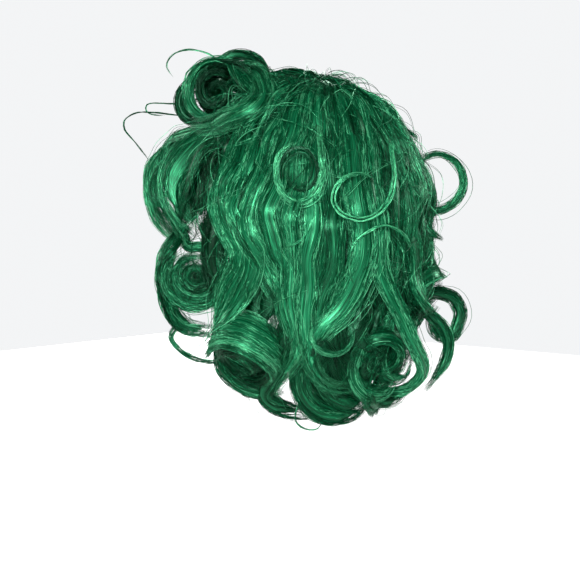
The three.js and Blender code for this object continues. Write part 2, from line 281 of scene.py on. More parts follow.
LOCK = dict(width=24, thick=8, strands=90, tone=0.5, root=0.3, tip=0.45, wave=0.9, loose=0.05, step=5.0,
            ends=(0.86, 1.0), radius=STRAND_RADIUS, swirl=0.5, clump=9, billow=0.6)


def lock(path, *first, **more):
    """What one lock is made of: its path in one part or a list of them, then its width and thickness in
    millimetres, its number of strands, how light it is, and how its strands vary. How light a lock is
    partly paints light and shade: some locks are set lighter as painted highlight, and the crown, the
    insides of curls and the under layers darker as painted shade."""
    named = dict(zip(LOCK, first))
    return {**LOCK, **named, **more, "parts": path if isinstance(path, list) else [path]}


def billowed(spec, rng):
    """The lock's guide line, with slow waves of its own."""
    centre, normal, side = guide(spec["parts"])
    gone = lengths(centre)[:, None]
    rise = np.minimum(1, gone / 30)
    for direction in (normal, side):
        phase, period = rng.uniform(0, 2 * math.pi), rng.uniform(48, 85)
        centre = centre + spec["billow"] * rise * np.sin(phase + 2 * math.pi * gone / period) * direction
    return centre, normal, side


def oval(rng, count, least=0.02):
    """Random places in a circle, as distances from its middle and angles."""
    return np.sqrt(rng.uniform(least, 1, count)), rng.uniform(0, 2 * math.pi, count)


def ring_count(spec, line):
    return max(8, math.ceil(step_lengths(line[0]).sum() / (STEP_SHARE * spec["step"])))


def grow(spec, line, rng):
    """The strands of a lock, which gather in clumps."""
    count = ring_count(spec, line)
    strands = max(2, round(spec["strands"] * STRAND_SHARE))
    clumps = max(1, round(strands / spec["clump"]))
    of_clump = rng.integers(0, clumps, strands)

    def each(values, own=0.0):
        return (values[of_clump] + own * rng.normal(0, 1, strands))[:, None]

    first = rng.uniform(0, 0.03, (strands, 1))
    span = spec["ends"][1] - spec["ends"][0]
    last = np.clip(each(rng.uniform(*spec["ends"], clumps), 0.25 * span), 0.3, 1)
    share = first + (last - first) * np.linspace(0, 1, count)[None]
    (centre, normal, side), length = along(line, share)

    reach, angle = oval(rng, clumps, 0.5)
    reach, angle = each(reach), each(angle) + spec["swirl"] * each(rng.normal(0, 1, clumps)) * share
    size = np.interp(share, [0, 0.2, 0.7, 1], [spec["root"], 1, 1, spec["tip"]])
    gather = 2.2 * np.minimum(1, spec["thick"] / 8) * np.interp(share, [0, 0.3, 1], [1.2, 1, 0.7])
    own_reach, own_angle = oval(rng, strands)
    own_ripple = [0.4 * np.sin(2 * math.pi * share * length / rng.uniform(18, 40, (strands, 1))
                               + rng.uniform(0, 6, (strands, 1))) for _ in range(2)]
    phase = [each(rng.uniform(0, 2 * math.pi, clumps), 0.5) for _ in range(2)]
    pitch = [each(rng.uniform(40, 90, clumps), 3) for _ in range(2)]
    ripple = [spec["wave"] * np.sin(2 * math.pi * share * length / p + q) * np.minimum(1, share * 5)
              for p, q in zip(pitch, phase)]
    reaches = np.clip(rng.normal(0, STRAY, (strands, 1)), -FURTHEST_STRAY, FURTHEST_STRAY)
    stray = np.where(rng.uniform(0, 1, (strands, 1)) < spec["loose"], reaches, 0)
    sway = stray * np.sin(math.pi * share) ** 2
    across = (reach * np.cos(angle) * size * spec["width"] / 2 + ripple[0]
              + (own_reach * np.cos(own_angle))[:, None] * gather + own_ripple[0] + sway)
    off = (reach * np.sin(angle) * size * spec["thick"] / 2 + 0.5 * ripple[1]
           + 0.6 * (own_reach * np.sin(own_angle))[:, None] * gather + 0.6 * own_ripple[1] + np.abs(sway))
    points = centre + across[..., None] * side + off[..., None] * normal

    taper = np.interp(np.linspace(0, 1, count), [0, 0.05, 0.75, 1], [0.7, 1, 1, 0.3])
    radii = spec["radius"] * rng.uniform(0.75, 1.2, (strands, 1)) * taper[None]
    tones = spec["tone"] + each(rng.normal(0, 0.12, clumps), 0.1) + 0.12 * (share - 0.5)
    # Painted glints: about one strand in fourteen is painted lighter, a fixed highlight for the shine of
    # single strands.
    tones = tones + np.where(rng.uniform(0, 1, (strands, 1)) < 0.07, 0.3, 0)
    turn = circle(SIDES)[:, None]
    rings = points[:, :, None] + radii[..., None, None] * (
        np.cos(turn) * normal[:, :, None] + np.sin(turn) * side[:, :, None])
    carried = carry(tones, across, off, share * length)
    return rings, np.repeat(carried[:, :, None], SIDES, axis=2)


def mass(spec, line, rng):
    """The inside of a lock: one closed tube, fluted along its length, that the strands lie round. It is
    painted darker than its strands, as the shade inside the lock.
    """
    count = ring_count(spec, line)
    share = 0.02 + (sum(spec["ends"]) / 2 - 0.08) * np.linspace(0, 1, count)
    (centre, normal, side), length = along(line, share)
    size = np.interp(share, [0, 0.2, 0.7, 1], [spec["root"], 1, 1, spec["tip"]])
    closing = np.interp(share, [share[0], 0.1, 0.85 * share[-1], share[-1]], [0.3, 1, 1, 0.12])
    size = MASS_SHARE / 2 * size * closing
    turn = circle(MASS_SIDES)[None]
    swirl = spec["swirl"] * share[:, None]
    flutes = 1 + 0.09 * np.sin(5 * turn + swirl + rng.uniform(0, 6))
    flutes = flutes + 0.06 * np.sin(8 * turn - swirl + rng.uniform(0, 6))
    across = np.cos(turn) * size[:, None] * flutes * spec["width"]
    off = np.sin(turn) * size[:, None] * flutes * spec["thick"]
    # Painted shade: the inside is set darker than the lock's strands.
    tones = spec["tone"] - 0.12 + 0.12 * (share[:, None] - 0.5)
    carried = carry(tones, across, off, share[:, None] * length)
    return sections(centre, side, normal, across, off)[None], carried[None]


def tube_mesh(name, bundles):
    """One mesh of closed tubes, with a strip of the OFBake map for each. A bundle is an array of rings of
    points, and what each point carries: its tone, then its place in the straightened lock in
    millimetres."""
    total = sum(len(rings) for rings, _ in bundles)
    quads_of, ends_of, quad_maps, end_maps, row, base = [], [], [], [], 0, 0
    for rings, _ in bundles:
        tubes, count, sides, _ = rings.shape
        index = base + np.arange(tubes * count * sides).reshape(tubes, count, sides)
        following = np.roll(index, -1, axis=2)
        corners = [index[:, :-1], following[:, :-1], following[:, 1:], index[:, 1:]]
        quads_of.append(np.stack(corners, -1).reshape(-1, 4))
        ends_of += [index[:, 0, ::-1], index[:, -1]]
        u = np.linspace(0, 1, count)
        strip = 0.7 / total / sides
        v = (row + 0.15 + np.arange(tubes)[:, None, None]) / total + np.arange(sides) * strip
        low_u, high_u, low_v = np.broadcast_arrays(u[None, :-1, None], u[None, 1:, None], v)
        high_v = low_v + strip
        corners = [low_u, low_v, low_u, high_v, high_u, high_v, high_u, low_v]
        quad_maps.append(np.stack(corners, -1).reshape(-1, 2))
        near = np.stack([np.zeros(tubes), (row + np.arange(tubes) + 0.5) / total], axis=-1)
        end_maps += [np.repeat(near, sides, axis=0), np.repeat(near + [1, 0], sides, axis=0)]
        row += tubes
        base += tubes * count * sides
    quads, ends = np.vstack(quads_of), np.vstack(ends_of)
    end_starts = len(quads) * 4 + np.arange(len(ends)) * ends.shape[1]
    starts = np.concatenate([np.arange(len(quads)) * 4, end_starts])
    mesh = bpy.data.meshes.new(name)
    fill(mesh.vertices, "co", np.vstack([rings.reshape(-1, 3) for rings, _ in bundles]) * MM)
    fill(mesh.loops, "vertex_index", np.concatenate([quads.ravel(), ends.ravel()]))
    fill(mesh.polygons, "loop_start", starts)
    mesh.update(calc_edges=True)
    mesh.uv_layers.new(name="OFBake").uv.foreach_set(
        "vector", np.vstack(quad_maps + end_maps).astype(np.float32).ravel())
    carried = np.vstack([values.reshape(-1, 4) for _, values in bundles]).astype(np.float32)
    mesh.attributes.new("tone", "FLOAT", "POINT").data.foreach_set("value", carried[:, 0].copy())
    return straightened(mesh, carried[:, 1:])


def straightened(mesh, places):
    """Adds each point's place in the straightened lock or the flat cloth, which the materials read."""
    straight = mesh.attributes.new("straight", "FLOAT_VECTOR", "POINT")
    straight.data.foreach_set("vector", places.astype(np.float32).ravel())
    mesh.shade_smooth()
    return mesh


def fill(items, name, values):
    items.add(len(values))
    values = values.astype(np.float32 if values.dtype.kind == "f" else np.int32)
    items.foreach_set(name, values.ravel())


def hair_piece(name, locks, nodes=()):
    """Hair grown from a seed of its own name: a piece of lock insides, and as many pieces of strands as
    keep each under PIECE_TRIANGLES."""
    rng = np.random.default_rng(list(name.encode()))
    lines = [billowed(spec, rng) for spec in locks]
    thick_locks = [mass(spec, line, rng) for spec, line in zip(locks, lines) if spec["thick"] >= MASS_THICK]
    if thick_locks:
        add_tubes(f"{name}_inside", thick_locks, GREEN, nodes)
    groups, size = [[]], 0
    for spec, line in zip(locks, lines):
        grown = grow(spec, line, rng)
        more = 2 * SIDES * grown[0].shape[0] * grown[0].shape[1]
        if groups[-1] and size + more > PIECE_TRIANGLES:
            groups.append([])
            size = 0
        groups[-1].append(grown)
        size += more
    for number, group in enumerate(groups):
        add_tubes(name if len(groups) == 1 else f"{name}_{number + 1}", group, GREEN, nodes)


def add_piece(name, mesh, material, nodes=(), body="wig"):
    """One piece of the visual model, which stands for its CAD nodes."""
    mesh.materials.append(material)
    piece = bpy.data.objects.new(name, mesh)
    bpy.context.scene.collection.objects.link(piece)
    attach(piece, body)
    if nodes:
        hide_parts(*nodes)
    return piece


def add_tubes(name, bundles, material, nodes=(), body="wig"):
    """One piece made of closed tubes."""
    return add_piece(name, tube_mesh(name, bundles), material, nodes, body)


def mirrored(specs):
    """The same locks on the other side of the head."""
    flip = np.array([-1, 1, 1])

    def over(part):
        return tuple(rows * flip for rows in part) if isinstance(part, tuple) else part * flip

    return [{**spec, "parts": [over(part) for part in spec["parts"]]} for spec in specs]


# ---- Materials ----
class Look:
    """The node tree of a material or a world, as it is built up."""

    def __init__(self, data):
        data.use_nodes = True
        self.data = data
        self.nodes, self.links = data.node_tree.nodes, data.node_tree.links

    def feed(self, node, values):
        """Gives sockets a constant or another node's output."""
        for key, value in values.items():
            if isinstance(value, bpy.types.NodeSocket):
                self.links.new(value, node.inputs[key])
            else:
                node.inputs[key].default_value = value

    def add(self, kind, values=(), **settings):
        node = self.nodes.new(f"ShaderNode{kind}")
        for key, value in settings.items():
            setattr(node, key, value)
        self.feed(node, dict(values))
        return node

    def math(self, operation, *values):
        return self.add("Math", enumerate(values), operation=operation).outputs["Value"]

    def carried(self, name, output):
        return self.add("Attribute", attribute_name=name).outputs[output]

    def noise(self, place, scale, detail=2):
        return self.add("TexNoise", {"Vector": place, "Scale": scale, "Detail": detail}).outputs["Fac"]

    def streaks(self, place, across, lengthways):
        """Noise drawn out along the hair: `across` and `lengthways` are cycles in a millimetre."""
        scaled = self.add("Mapping", {"Vector": place, "Scale": (across, across, lengthways)})
        return self.noise(scaled.outputs["Vector"], 1)

    def ramp(self, share, *stops):
        node = self.add("ValToRGB", {"Fac": share})
        while len(node.color_ramp.elements) < len(stops):
            node.color_ramp.elements.new(0.5)
        for element, (position, colour) in zip(node.color_ramp.elements, stops):
            element.position = position
            element.color = (*colour, 1)
        return node.outputs["Color"]

    def shade(self, colour, roughness, height, strength, relief, **constants):
        """Sets the shader's sockets. The relief is in millimetres."""
        bump = self.add("Bump", {"Height": height, "Strength": strength, "Distance": relief * MM})
        named = {name.replace("_", " "): value for name, value in constants.items()}
        self.feed(self.nodes["Principled BSDF"], {
            "Base Color": colour, "Roughness": roughness, "Normal": bump.outputs["Normal"], **named})
        return self.data


def material_look(name):
    return Look(bpy.data.materials.new(name))


def hair_material():
    """Glossy green fibre. Fine streaks follow the lock, and each strand has a tone of its own, partly painted
    light: some strands and locks are painted lighter as highlights, and others darker as shade.
    """
    look = material_look("green_fibre")
    place = look.carried("straight", "Vector")
    fine, broad = look.streaks(place, 2.2, 0.03), look.streaks(place, 0.3, 0.012)
    shift = look.math("ADD", look.math("MULTIPLY", fine, 1.8), look.math("MULTIPLY_ADD", broad, 0.6, -1.2))
    # The ramp's lightest stop is a pale painted highlight, which the painted glints and the lightest locks
    # reach.
    colour = look.ramp(look.math("ADD", look.carried("tone", "Fac"), shift), (0.0, (0.0001, 0.009, 0.0028)),
                       (0.4, (0.0006, 0.047, 0.016)), (0.75, (0.005, 0.15, 0.058)), (1.0, (0.1, 0.48, 0.24)))
    return look.shade(colour, look.math("MULTIPLY_ADD", broad, 0.3, 0.17), fine, 0.6, 0.35, Metallic=0.38,
                      Specular_IOR_Level=0.45, Specular_Tint=(0.36, 1.0, 0.64, 1))


GREEN = hair_material()


# ---- Hair of the crown ----
def hanging(*places):
    """Points on the hair's own surface: rows of turn, fall and out, plus the lift there."""
    return head(*[(turn, fall, out + lift(turn, fall)) for turn, fall, out in places])


def crown_lock(turn, number, low, out, **more):
    """A lock from the whorl over the dome, which then hangs to the fall `low` in waves of its own."""
    sway, wave = 7 * math.sin(1.7 * number + 1), 3 * math.sin(2.6 * number)
    fall = 58 + 11 * math.sin(2.1 * number)
    drop = low - fall
    tail = hanging((turn, fall, out + 0.4 * wave), (turn + sway, fall + 0.3 * drop, out + 3 + wave),
                   (turn + 0.3 * sway, fall + 0.65 * drop, out + 3 - wave),
                   (turn - 0.6 * sway, low, out + 2 + wave))
    path = from_whorl(turn, fall, out, bend=12 * math.sin(3.3 * number))
    return lock([path, tail], **{"width": 24, "ends": (0.7, 1), "step": 8, "billow": 2.6, **more})


def crown_layer(first, last, pitch, low):
    """Crown locks side by side, in three layers that don't line up."""
    locks = []
    for number, turn in enumerate(np.arange(first, last, pitch)):
        # Painted shade: the crown's locks are set dark, as the top of the head lies in shade, and each lower
        # layer darker still.
        locks += [
            crown_lock(turn, number + 0.5, low - 8, 10, tone=0.04, thick=8, strands=60),
            crown_lock(turn + pitch / 2, number, low, 14, tone=0.11, strands=90),
            crown_lock(turn + pitch / 4, number + 7, low - 4, 16, tone=0.26, width=13, thick=5, strands=60),
        ]
    return locks


def whorl_hair():
    """The short hair right round the whorl."""
    paths = [[from_whorl(turn, 40, 15, low_out=12, bend=8), head((turn, 40, 16))]
             for turn in range(-180, 180, 20)]
    return [lock(path, 20, 5, 60, 0.25, ends=(0.5, 1), tip=0.7) for path in paths]


def front_crown_hair():
    """Hair that comes forward from the whorl, then sweeps round to the temples above the forehead band."""
    locks = []
    for turn in range(-92, -36, 8):
        sweep = head((turn + 4, 50, 13), (turn + 16, 61, 16), (turn + 30, 69, 21))
        locks.append(lock([from_whorl(turn, 40, 12), sweep], 26, 8, 110, 0.4, step=6.5))
    for turn in range(-96, -168, -8):
        sweep = head((turn - 4, 52, 13), (turn - 18, 66, 17), (turn - 34, 78, 24))
        locks.append(lock([from_whorl(turn, 40, 12), sweep], 26, 8, 110, 0.4, step=6.5))
    for turn, lean in [(-84, 10), (-89, 5), (-94, -5), (-100, -10)]:
        sweep = head((turn, 50, 9), (turn + lean, 60, 11), (turn + 2.4 * lean, 66, 13))
        locks.append(lock([from_whorl(turn, 40, 9), sweep], 24, 7, 100, 0.3, step=6.5))
    return locks


WAVY = dict(root=0.8, loose=0.12, billow=2.4)


def under_layer(turns, low, out=11):
    """The hair of the weft rows, which fills the wig under the outer locks."""
    locks = []
    for number, turn in enumerate(turns):
        lean = 4 * math.sin(2.3 * number)
        middle = (low + 70) / 2
        places = hanging((turn, 52, out - 3), (turn, 70, out), (turn + lean, middle, out + 4),
                         (turn - lean, low, out + 7))
        # Painted shade: this hair is set dark, as it lies in shade under the outer locks.
        locks.append(lock(places, 26, 12, 90, 0.12, tip=0.9, ends=(0.75, 1), step=9, wave=2.2, **WAVY))
    return locks


def nape_layer():
    """Wavy hair that hangs to the neck behind the curls."""
    locks = []
    for number, turn in enumerate(range(14, 166, 8)):
        lean = 5 * math.sin(2.9 * number)
        edge = 146 if turn < 30 or turn > 150 else 160
        places = head((turn, 84, 13), (turn + lean, 110, 19), (turn - lean, 132, 23),
                      (turn + lean, edge - 8, 30), (turn + 2.5 * lean, edge, 26))
        locks.append(lock(places, 26, 14, 110, 0.2, tip=0.8, ends=(0.8, 1), step=7, wave=2.6, **WAVY))
    return locks


add_tubes("crown_weft_hair", [dome_shell(on_dome(*WHORL), 64, (6.2, 9.5), 1, 0.12)], GREEN,
          ["crown_whorl_hair"])
hair_piece("whorl_hair", whorl_hair(), ["crown_whorl_hair"])
hair_piece("front_crown_locks", front_crown_hair(), ["crown_front_hair"])
hair_piece("left_crown_locks", crown_layer(-30, 42, 9, 88), ["left_crown_hair"])
hair_piece("back_crown_locks", crown_layer(42, 138, 10, 100), ["crown_back_hair"])
hair_piece("right_crown_locks", crown_layer(140, 208, 9, 96), ["right_crown_hair"])
temple_layer = under_layer(range(-46, -22, 8), 98, out=17)
ear_layer = under_layer(range(-22, 2, 8), 100) + under_layer(range(2, 26, 8), 128)
hair_piece("left_under_hair", temple_layer + ear_layer, ["left_side_hair", "left_behind_ear_hair"])
hair_piece("right_under_hair", under_layer(range(178, 204, 8), 100) + under_layer(range(154, 178, 8), 128),
           ["right_side_hair", "right_behind_ear_hair"])
hair_piece("back_under_hair", under_layer(range(26, 154, 8), 132), ["left_back_hair", "right_back_hair"])
hair_piece("nape_under_hair", nape_layer(), ["centre_back_hair"])


# ---- The front roll, the loops over it, and the curtain beside the face ----
def front_roll():
    """The big roll over the left brow: its outer turn, its core and rear, and what fills it."""
    feed = [from_whorl(-28, 34, 12), dressed((-16, 110, 48), (-34, 116, 42))]
    roll = ring((-73, 112, 16), (27, 25), (40, -320), drift=-4)
    core = ring((-73, 112, 14), (20, 2), (40, -560), drift=4)
    rear = ring((-92, 104, -22), (24, 4), (60, -520), drift=4)
    outer = face_on((-56, 132, 10), (-42, 131, 20), (-32, 122, 38), (-29, 107, 58), (-37, 94, 68),
        (-54, 85, 64), (-76, 79, 44), (-96, 79, 20))
    # Painted highlight: the outer band is set light. Painted shade: the core, the rear turn, the ring that
    # fills the roll and the two plugs in its hollow are set dark.
    return [
        lock([*feed, roll], 34, 8, 260, 0.5, step=4.5, tip=0.8, swirl=1),
        lock(core, 32, 10, 240, 0.15, root=0.9, tip=0.9, step=4, swirl=1, wave=1.6),
        lock(dressed((-76, 110, -22), (-74, 112, 4), (-73, 113, 28)), 15, 14, 60, 0.05, root=0.9, tip=0.9),
        lock(dressed((-77, 109, -22), (-76, 110, -14), (-75, 111, -4)), 44, 42, 80, 0.05, root=0.9, tip=0.9,
            step=3.5),
        lock([from_whorl(-50, 34, 12), dressed((-44, 120, 0), (-68, 125, -12)), rear], 36, 10, 220, 0.12,
            step=4.5, tip=0.8, swirl=1),
        lock(outer, 21, 11, 300, 0.62, root=0.7, tip=0.7, step=4.5),
        lock(ring((-62, 110, 14), (28, 26), (-40, 190), drift=2), 34, 9, 190, 0.15, root=0.7, tip=0.7,
            step=4.5),
    ]


def roll_loops():
    """The band over the roll, and the thin wires of hair that stand off it."""
    band = face_on((-30, 116, 16), (-31, 132, 8), (-40, 144, 2), (-57, 149, -2), (-67, 144, -2),
        (-76, 135, 0), (-80, 124, 2))
    thin = dict(width=1.8, thick=1.6, strands=12, wave=0.1, root=0.8, step=3.5, loose=0, clump=12,
        radius=0.26)
    return [
        lock(band, 8, 10, 130, 0.3, root=0.9, tip=0.7, step=3.5, ends=(0.95, 1)),
        lock(face_on((-70, 128, -16), (-76, 145, -18), (-86, 152, -18), (-100, 155, -16), (-114, 150, -12),
            (-121, 138, -8), (-112, 122, -8)), **thin),
        lock(face_on((-72, 134, -14), (-78, 142, -20), (-91, 143, -22), (-101, 138, -24), (-106, 131, -26),
            (-106, 120, -26)), **{**thin, "strands": 20, "width": 2.6}),
        lock(face_on((-106, 104, -20), (-127, 105, -14), (-140, 104, -10), (-142, 99, -8), (-138, 94, -8),
            (-120, 92, -12)), **thin),
        lock(face_on((-106, 92, -20), (-135, 94, -10), (-150, 93, -4), (-160, 87, 2), (-160, 78, 2),
            (-154, 70, -2), (-140, 52, -14)), **{**thin, "strands": 16}),
    ]


def curtain():
    """The sweep under the roll, and the locks that hang from it in front of the ear."""
    sweep = [from_whorl(-6, 40, 13), dressed((-27, 98, 48), (-49, 86, 46), (-70, 78, 38), (-93, 73, 22),
                                            (-115, 66, -2))]
    outer = face_on((-133, 50, -20), (-140, 32, -24), (-139, 10, -22), (-131, -8, -16), (-118, -22, -4),
                    (-102, -28, 8))
    inner = face_on((-124, 46, -6), (-131, 26, -8), (-127, 6, -4), (-114, -12, 6), (-96, -24, 18))
    behind = face_on((-98, 44, 2), (-104, 24, -2), (-101, 4, 2), (-92, -14, 10))
    lobe = face_on((-96, 58, 26), (-110, 40, 24), (-113, 18, 26), (-104, -2, 30), (-88, -18, 34))
    # Painted highlight: the sweep and its outer locks are set light; painted shade: the lock behind is set
    # dark.
    return [
        lock([*sweep, outer], 12, 10, 170, 0.62, step=5, tip=0.6),
        lock([*sweep, outer], 4, 3, 30, 0.7, step=5, tip=0.5),
        lock([*sweep, inner], 16, 10, 200, 0.4, step=5, tip=0.8),
        lock([from_whorl(-14, 44, 14), dressed((-50, 80, 44), (-74, 70, 36)), lobe], 28, 10, 240, 0.52,
            step=5, tip=0.7),
        lock([from_whorl(-20, 50, 14), head((-24, 62, 20), (-30, 76, 24), (-34, 90, 26), (-36, 102, 26))],
            28, 10, 160, 0.2, step=6, tip=0.8),
        lock(behind, 24, 8, 120, 0.12, root=0.5, tip=0.7),
    ]


hair_piece("front_roll_hair", front_roll(), ["front_roll"])
hair_piece("front_roll_loops", roll_loops(), ["front_roll_loop"])
hair_piece("left_curtain_locks", curtain(), ["left_curtain_hair"])
hair_piece("right_curtain_locks", mirrored(curtain()[2:]), ["right_curtain_hair"])


# ---- The curls ----
LONG = dict(step=5.5, billow=1.6)
NAPE_CURL = dict(tip=0.6, step=4.5)


def cheek_curl():
    """A flat coil in front of the ear, the band that hangs round below it, and a thin open loop."""
    centre = (-91, -57, 50)
    coil = dict(root=0.9, tip=0.8, step=3.5)
    return [
        lock([face_on((-118, 4, 14), (-110, -10, 26), (-101, -22, 38)), ring(centre, (28, 27), (-10, 350),
            flat=True)], 9, 8, 160, 0.5, **coil),
        lock([face_on((-98, -12, 26), (-104, -22, 36)), ring(centre, (31, 28), (-40, -300), flat=True)], 5,
            5, 80, 0.4, **coil),
        lock([dressed((-84, -8, 40), (-80, -22, 46)), ring(centre, (21, 14), (40, 420), drift=3, flat=True)],
            10, 9, 260, 0.45, swirl=2, wave=1.6, **coil),
        lock(ring(centre, (12, 3), (60, 560), drift=2, flat=True), 9, 7, 160, 0.3, swirl=2, wave=1.6,
            **coil),
        lock(dressed((-86, -50, 34), (-89, -55, 42), (-91, -58, 50)), 16, 14, 60, 0.1, **coil),
        lock(face_on((-108, -18, 14), (-118, -34, 18), (-121, -54, 24), (-119, -74, 32), (-113, -90, 42),
            (-102, -101, 50), (-86, -105, 52), (-68, -107, 48)), 15, 12, 230, 0.4, root=0.5, tip=0.8,
            step=4),
        lock(face_on((-104, -98, 44), (-111, -106, 40), (-115, -114, 40), (-109, -123, 42), (-97, -130, 46),
            (-79, -134, 54), (-62, -132, 62)), 4, 4, 50, 0.4, root=0.8, tip=0.8, step=3.5, loose=0,
            wave=0.2),
    ]


def barrel_curl():
    """The fat curl behind the ear, with the hair that feeds it."""
    axis = (-0.38, -0.76, 0.53)
    centre = (-42, -120, 86)
    # Painted highlight: the outer turn is set light for the bright band across it; painted shade: the inner
    # coil is set dark.
    return [
        lock([head((4, 52, 20)), dressed((-58, 20, 94), (-54, -8, 98), (-44, -28, 100), (-44, -48, 99),
            (-56, -70, 92)), ring(centre, (31, 30), (-50, 250), axis=axis)], 40, 8, 380, 0.66, root=0.35,
            tip=0.9, step=4),
        lock(ring(centre, (27, 10), (100, 620), axis=axis), 38, 10, 240, 0.2, root=0.9, tip=0.8, step=4,
            swirl=2, wave=2.4, loose=0.15),
    ]


def pin_curl():
    """The tall oval curl that lies on the back."""
    centre = (3, 36, 118)
    tall = dict(flat=True, stretch=1.3)
    coil = dict(root=0.8, step=3.5, loose=0.02)
    # Painted highlight: the outer ring is set light; the inner coil keeps a dark tone.
    return [
        lock([hanging((50, 48, 20)), ring(centre, (20, 19), (60, 345), **tall)], 6, 4, 110, 0.8, tip=0.4,
            **coil),
        lock(ring(centre, (16, 9), (250, 640), drift=1, **tall), 6, 2, 50, 0.15, tip=0.7, swirl=2, **coil),
    ]


def thin_loops():
    """The thin coils that lie on the back hair."""
    # Painted highlight: the loops are set light, with a tone of 0.75.
    thin = dict(width=3.6, thick=3, strands=44, root=0.8, tip=0.6, step=3.5, loose=0, wave=0.15, clump=13,
        tone=0.75)
    return [
        lock(face_on((80, 62, 112), (82, 47, 116), (83, 36, 118), (82, 25, 120), (78, 12, 121), (68, 0, 122),
            (56, -5, 122), (44, -3, 122), (36, 3, 122), (32, 13, 122), (36, 24, 121), (45, 32, 120),
            (56, 34, 118), (66, 30, 116)), **thin),
        lock(face_on((100, -28, 110), (92, -16, 114), (75, -9, 118), (61, -13, 120), (51, -21, 121),
            (46, -32, 121), (45, -48, 119), (48, -60, 116)), **thin),
        lock(face_on((16, 14, 118), (17, 2, 120), (13, -8, 121), (6, -20, 121), (-6, -28, 120),
            (-18, -32, 118)), **thin),
    ]


def back_locks():
    """The long locks down the back of the dressed side, from the left."""
    return [
        lock(dressed((-66, 6, 66), (-72, -20, 66), (-73, -44, 66), (-68, -72, 68)), 30, 12, 150, 0.08,
            root=0.6, tip=0.9),
        lock([from_whorl(2, 56, 18), dressed((-56, 36, 90), (-60, 14, 94), (-52, -8, 97), (-42, -32, 99),
            (-40, -56, 97), (-46, -76, 92))], 15, 8, 150, 0.55, **LONG),
        lock([from_whorl(14, 58, 20), dressed((-50, 22, 98), (-56, 4, 102), (-46, -16, 104), (-34, -34, 105),
            (-30, -56, 103), (-36, -80, 99))], 22, 9, 160, 0.65, **LONG),
        lock([from_whorl(22, 60, 22), dressed((-38, 14, 108), (-43, -6, 110), (-38, -24, 110),
            (-26, -44, 108), (-16, -62, 108), (-13, -80, 106), (-20, -98, 100), (-34, -106, 92))], 24, 9,
            180, 0.65, **LONG),
        lock([from_whorl(30, 60, 24), dressed((-22, 14, 114), (-24, -8, 116), (-20, -30, 116),
            (-8, -50, 114), (-8, -72, 110), (-20, -92, 104))], 24, 9, 180, 0.6, **LONG),
        lock([from_whorl(38, 60, 26), dressed((-6, 8, 116), (-6, -20, 116), (-8, -44, 114), (-6, -70, 112),
            (-1, -98, 110), (-2, -122, 104), (-10, -142, 94), (-20, -160, 80), (-14, -176, 72))], 24, 9, 190,
            0.65, **LONG),
        lock([from_whorl(46, 60, 26), dressed((14, 8, 116), (14, -18, 117), (10, -44, 116), (8, -70, 114),
            (9, -96, 112), (11, -118, 108), (14, -134, 102), (26, -147, 94), (44, -154, 86),
            (62, -154, 76))], 20, 9, 190, 0.65, **LONG),
        lock([from_whorl(54, 60, 26), dressed((30, 4, 114), (32, -22, 116), (28, -46, 116), (22, -70, 112),
            (18, -96, 106), (18, -122, 98), (24, -146, 88), (32, -166, 76), (46, -174, 66))], 22, 9, 170,
            0.5, **LONG),
    ]


def right_locks():
    """The lock that hooks left, the S shaped lock, and the dense hair at the right of the dressed
    side."""
    hook = dressed((54, 12, 112), (58, -12, 113), (58, -38, 113), (50, -62, 112), (38, -82, 111),
        (24, -98, 112))
    return [
        lock([from_whorl(66, 60, 25), hook, ring((32, -102, 110), (19, 15), (-120, -350),
            axis=(0.1, -0.3, 1))], 26, 8, 230, 0.65, step=5),
        lock([from_whorl(70, 60, 25), dressed((64, 12, 107), (68, -12, 108), (66, -38, 108), (58, -60, 106),
            (48, -84, 100), (46, -106, 92), (56, -124, 84))], 22, 8, 150, 0.4, **LONG),
        lock([from_whorl(78, 60, 25), dressed((70, 8, 105), (72, -16, 107), (74, -46, 107), (84, -74, 102),
            (98, -102, 94), (110, -124, 80), (114, -142, 66), (104, -157, 56), (88, -165, 52),
            (68, -167, 52), (52, -160, 58), (47, -149, 64), (58, -140, 68), (78, -136, 66))], 16, 10, 240,
            0.68, step=5, tip=0.6),
        lock([from_whorl(88, 60, 24), hanging((88, 76, 22), (86, 92, 21), (90, 108, 21), (86, 126, 22),
            (80, 140, 26))], 24, 9, 160, 0.35, **LONG),
        lock([from_whorl(96, 60, 22), hanging((96, 78, 22), (98, 92, 22), (96, 108, 22), (100, 122, 22),
            (104, 134, 20))], 24, 9, 160, 0.45, **LONG),
        lock([from_whorl(106, 60, 20), hanging((108, 78, 20), (105, 92, 20), (109, 108, 20),
            (106, 124, 18))], 26, 9, 160, 0.4, **LONG),
        lock([from_whorl(118, 60, 18), hanging((119, 78, 19), (123, 92, 19), (118, 106, 19),
            (122, 122, 18))], 28, 9, 170, 0.35, **LONG),
        lock([from_whorl(130, 60, 18), hanging((131, 78, 19), (127, 92, 19), (131, 108, 19),
            (128, 122, 18))], 28, 9, 170, 0.35, **LONG),
    ]


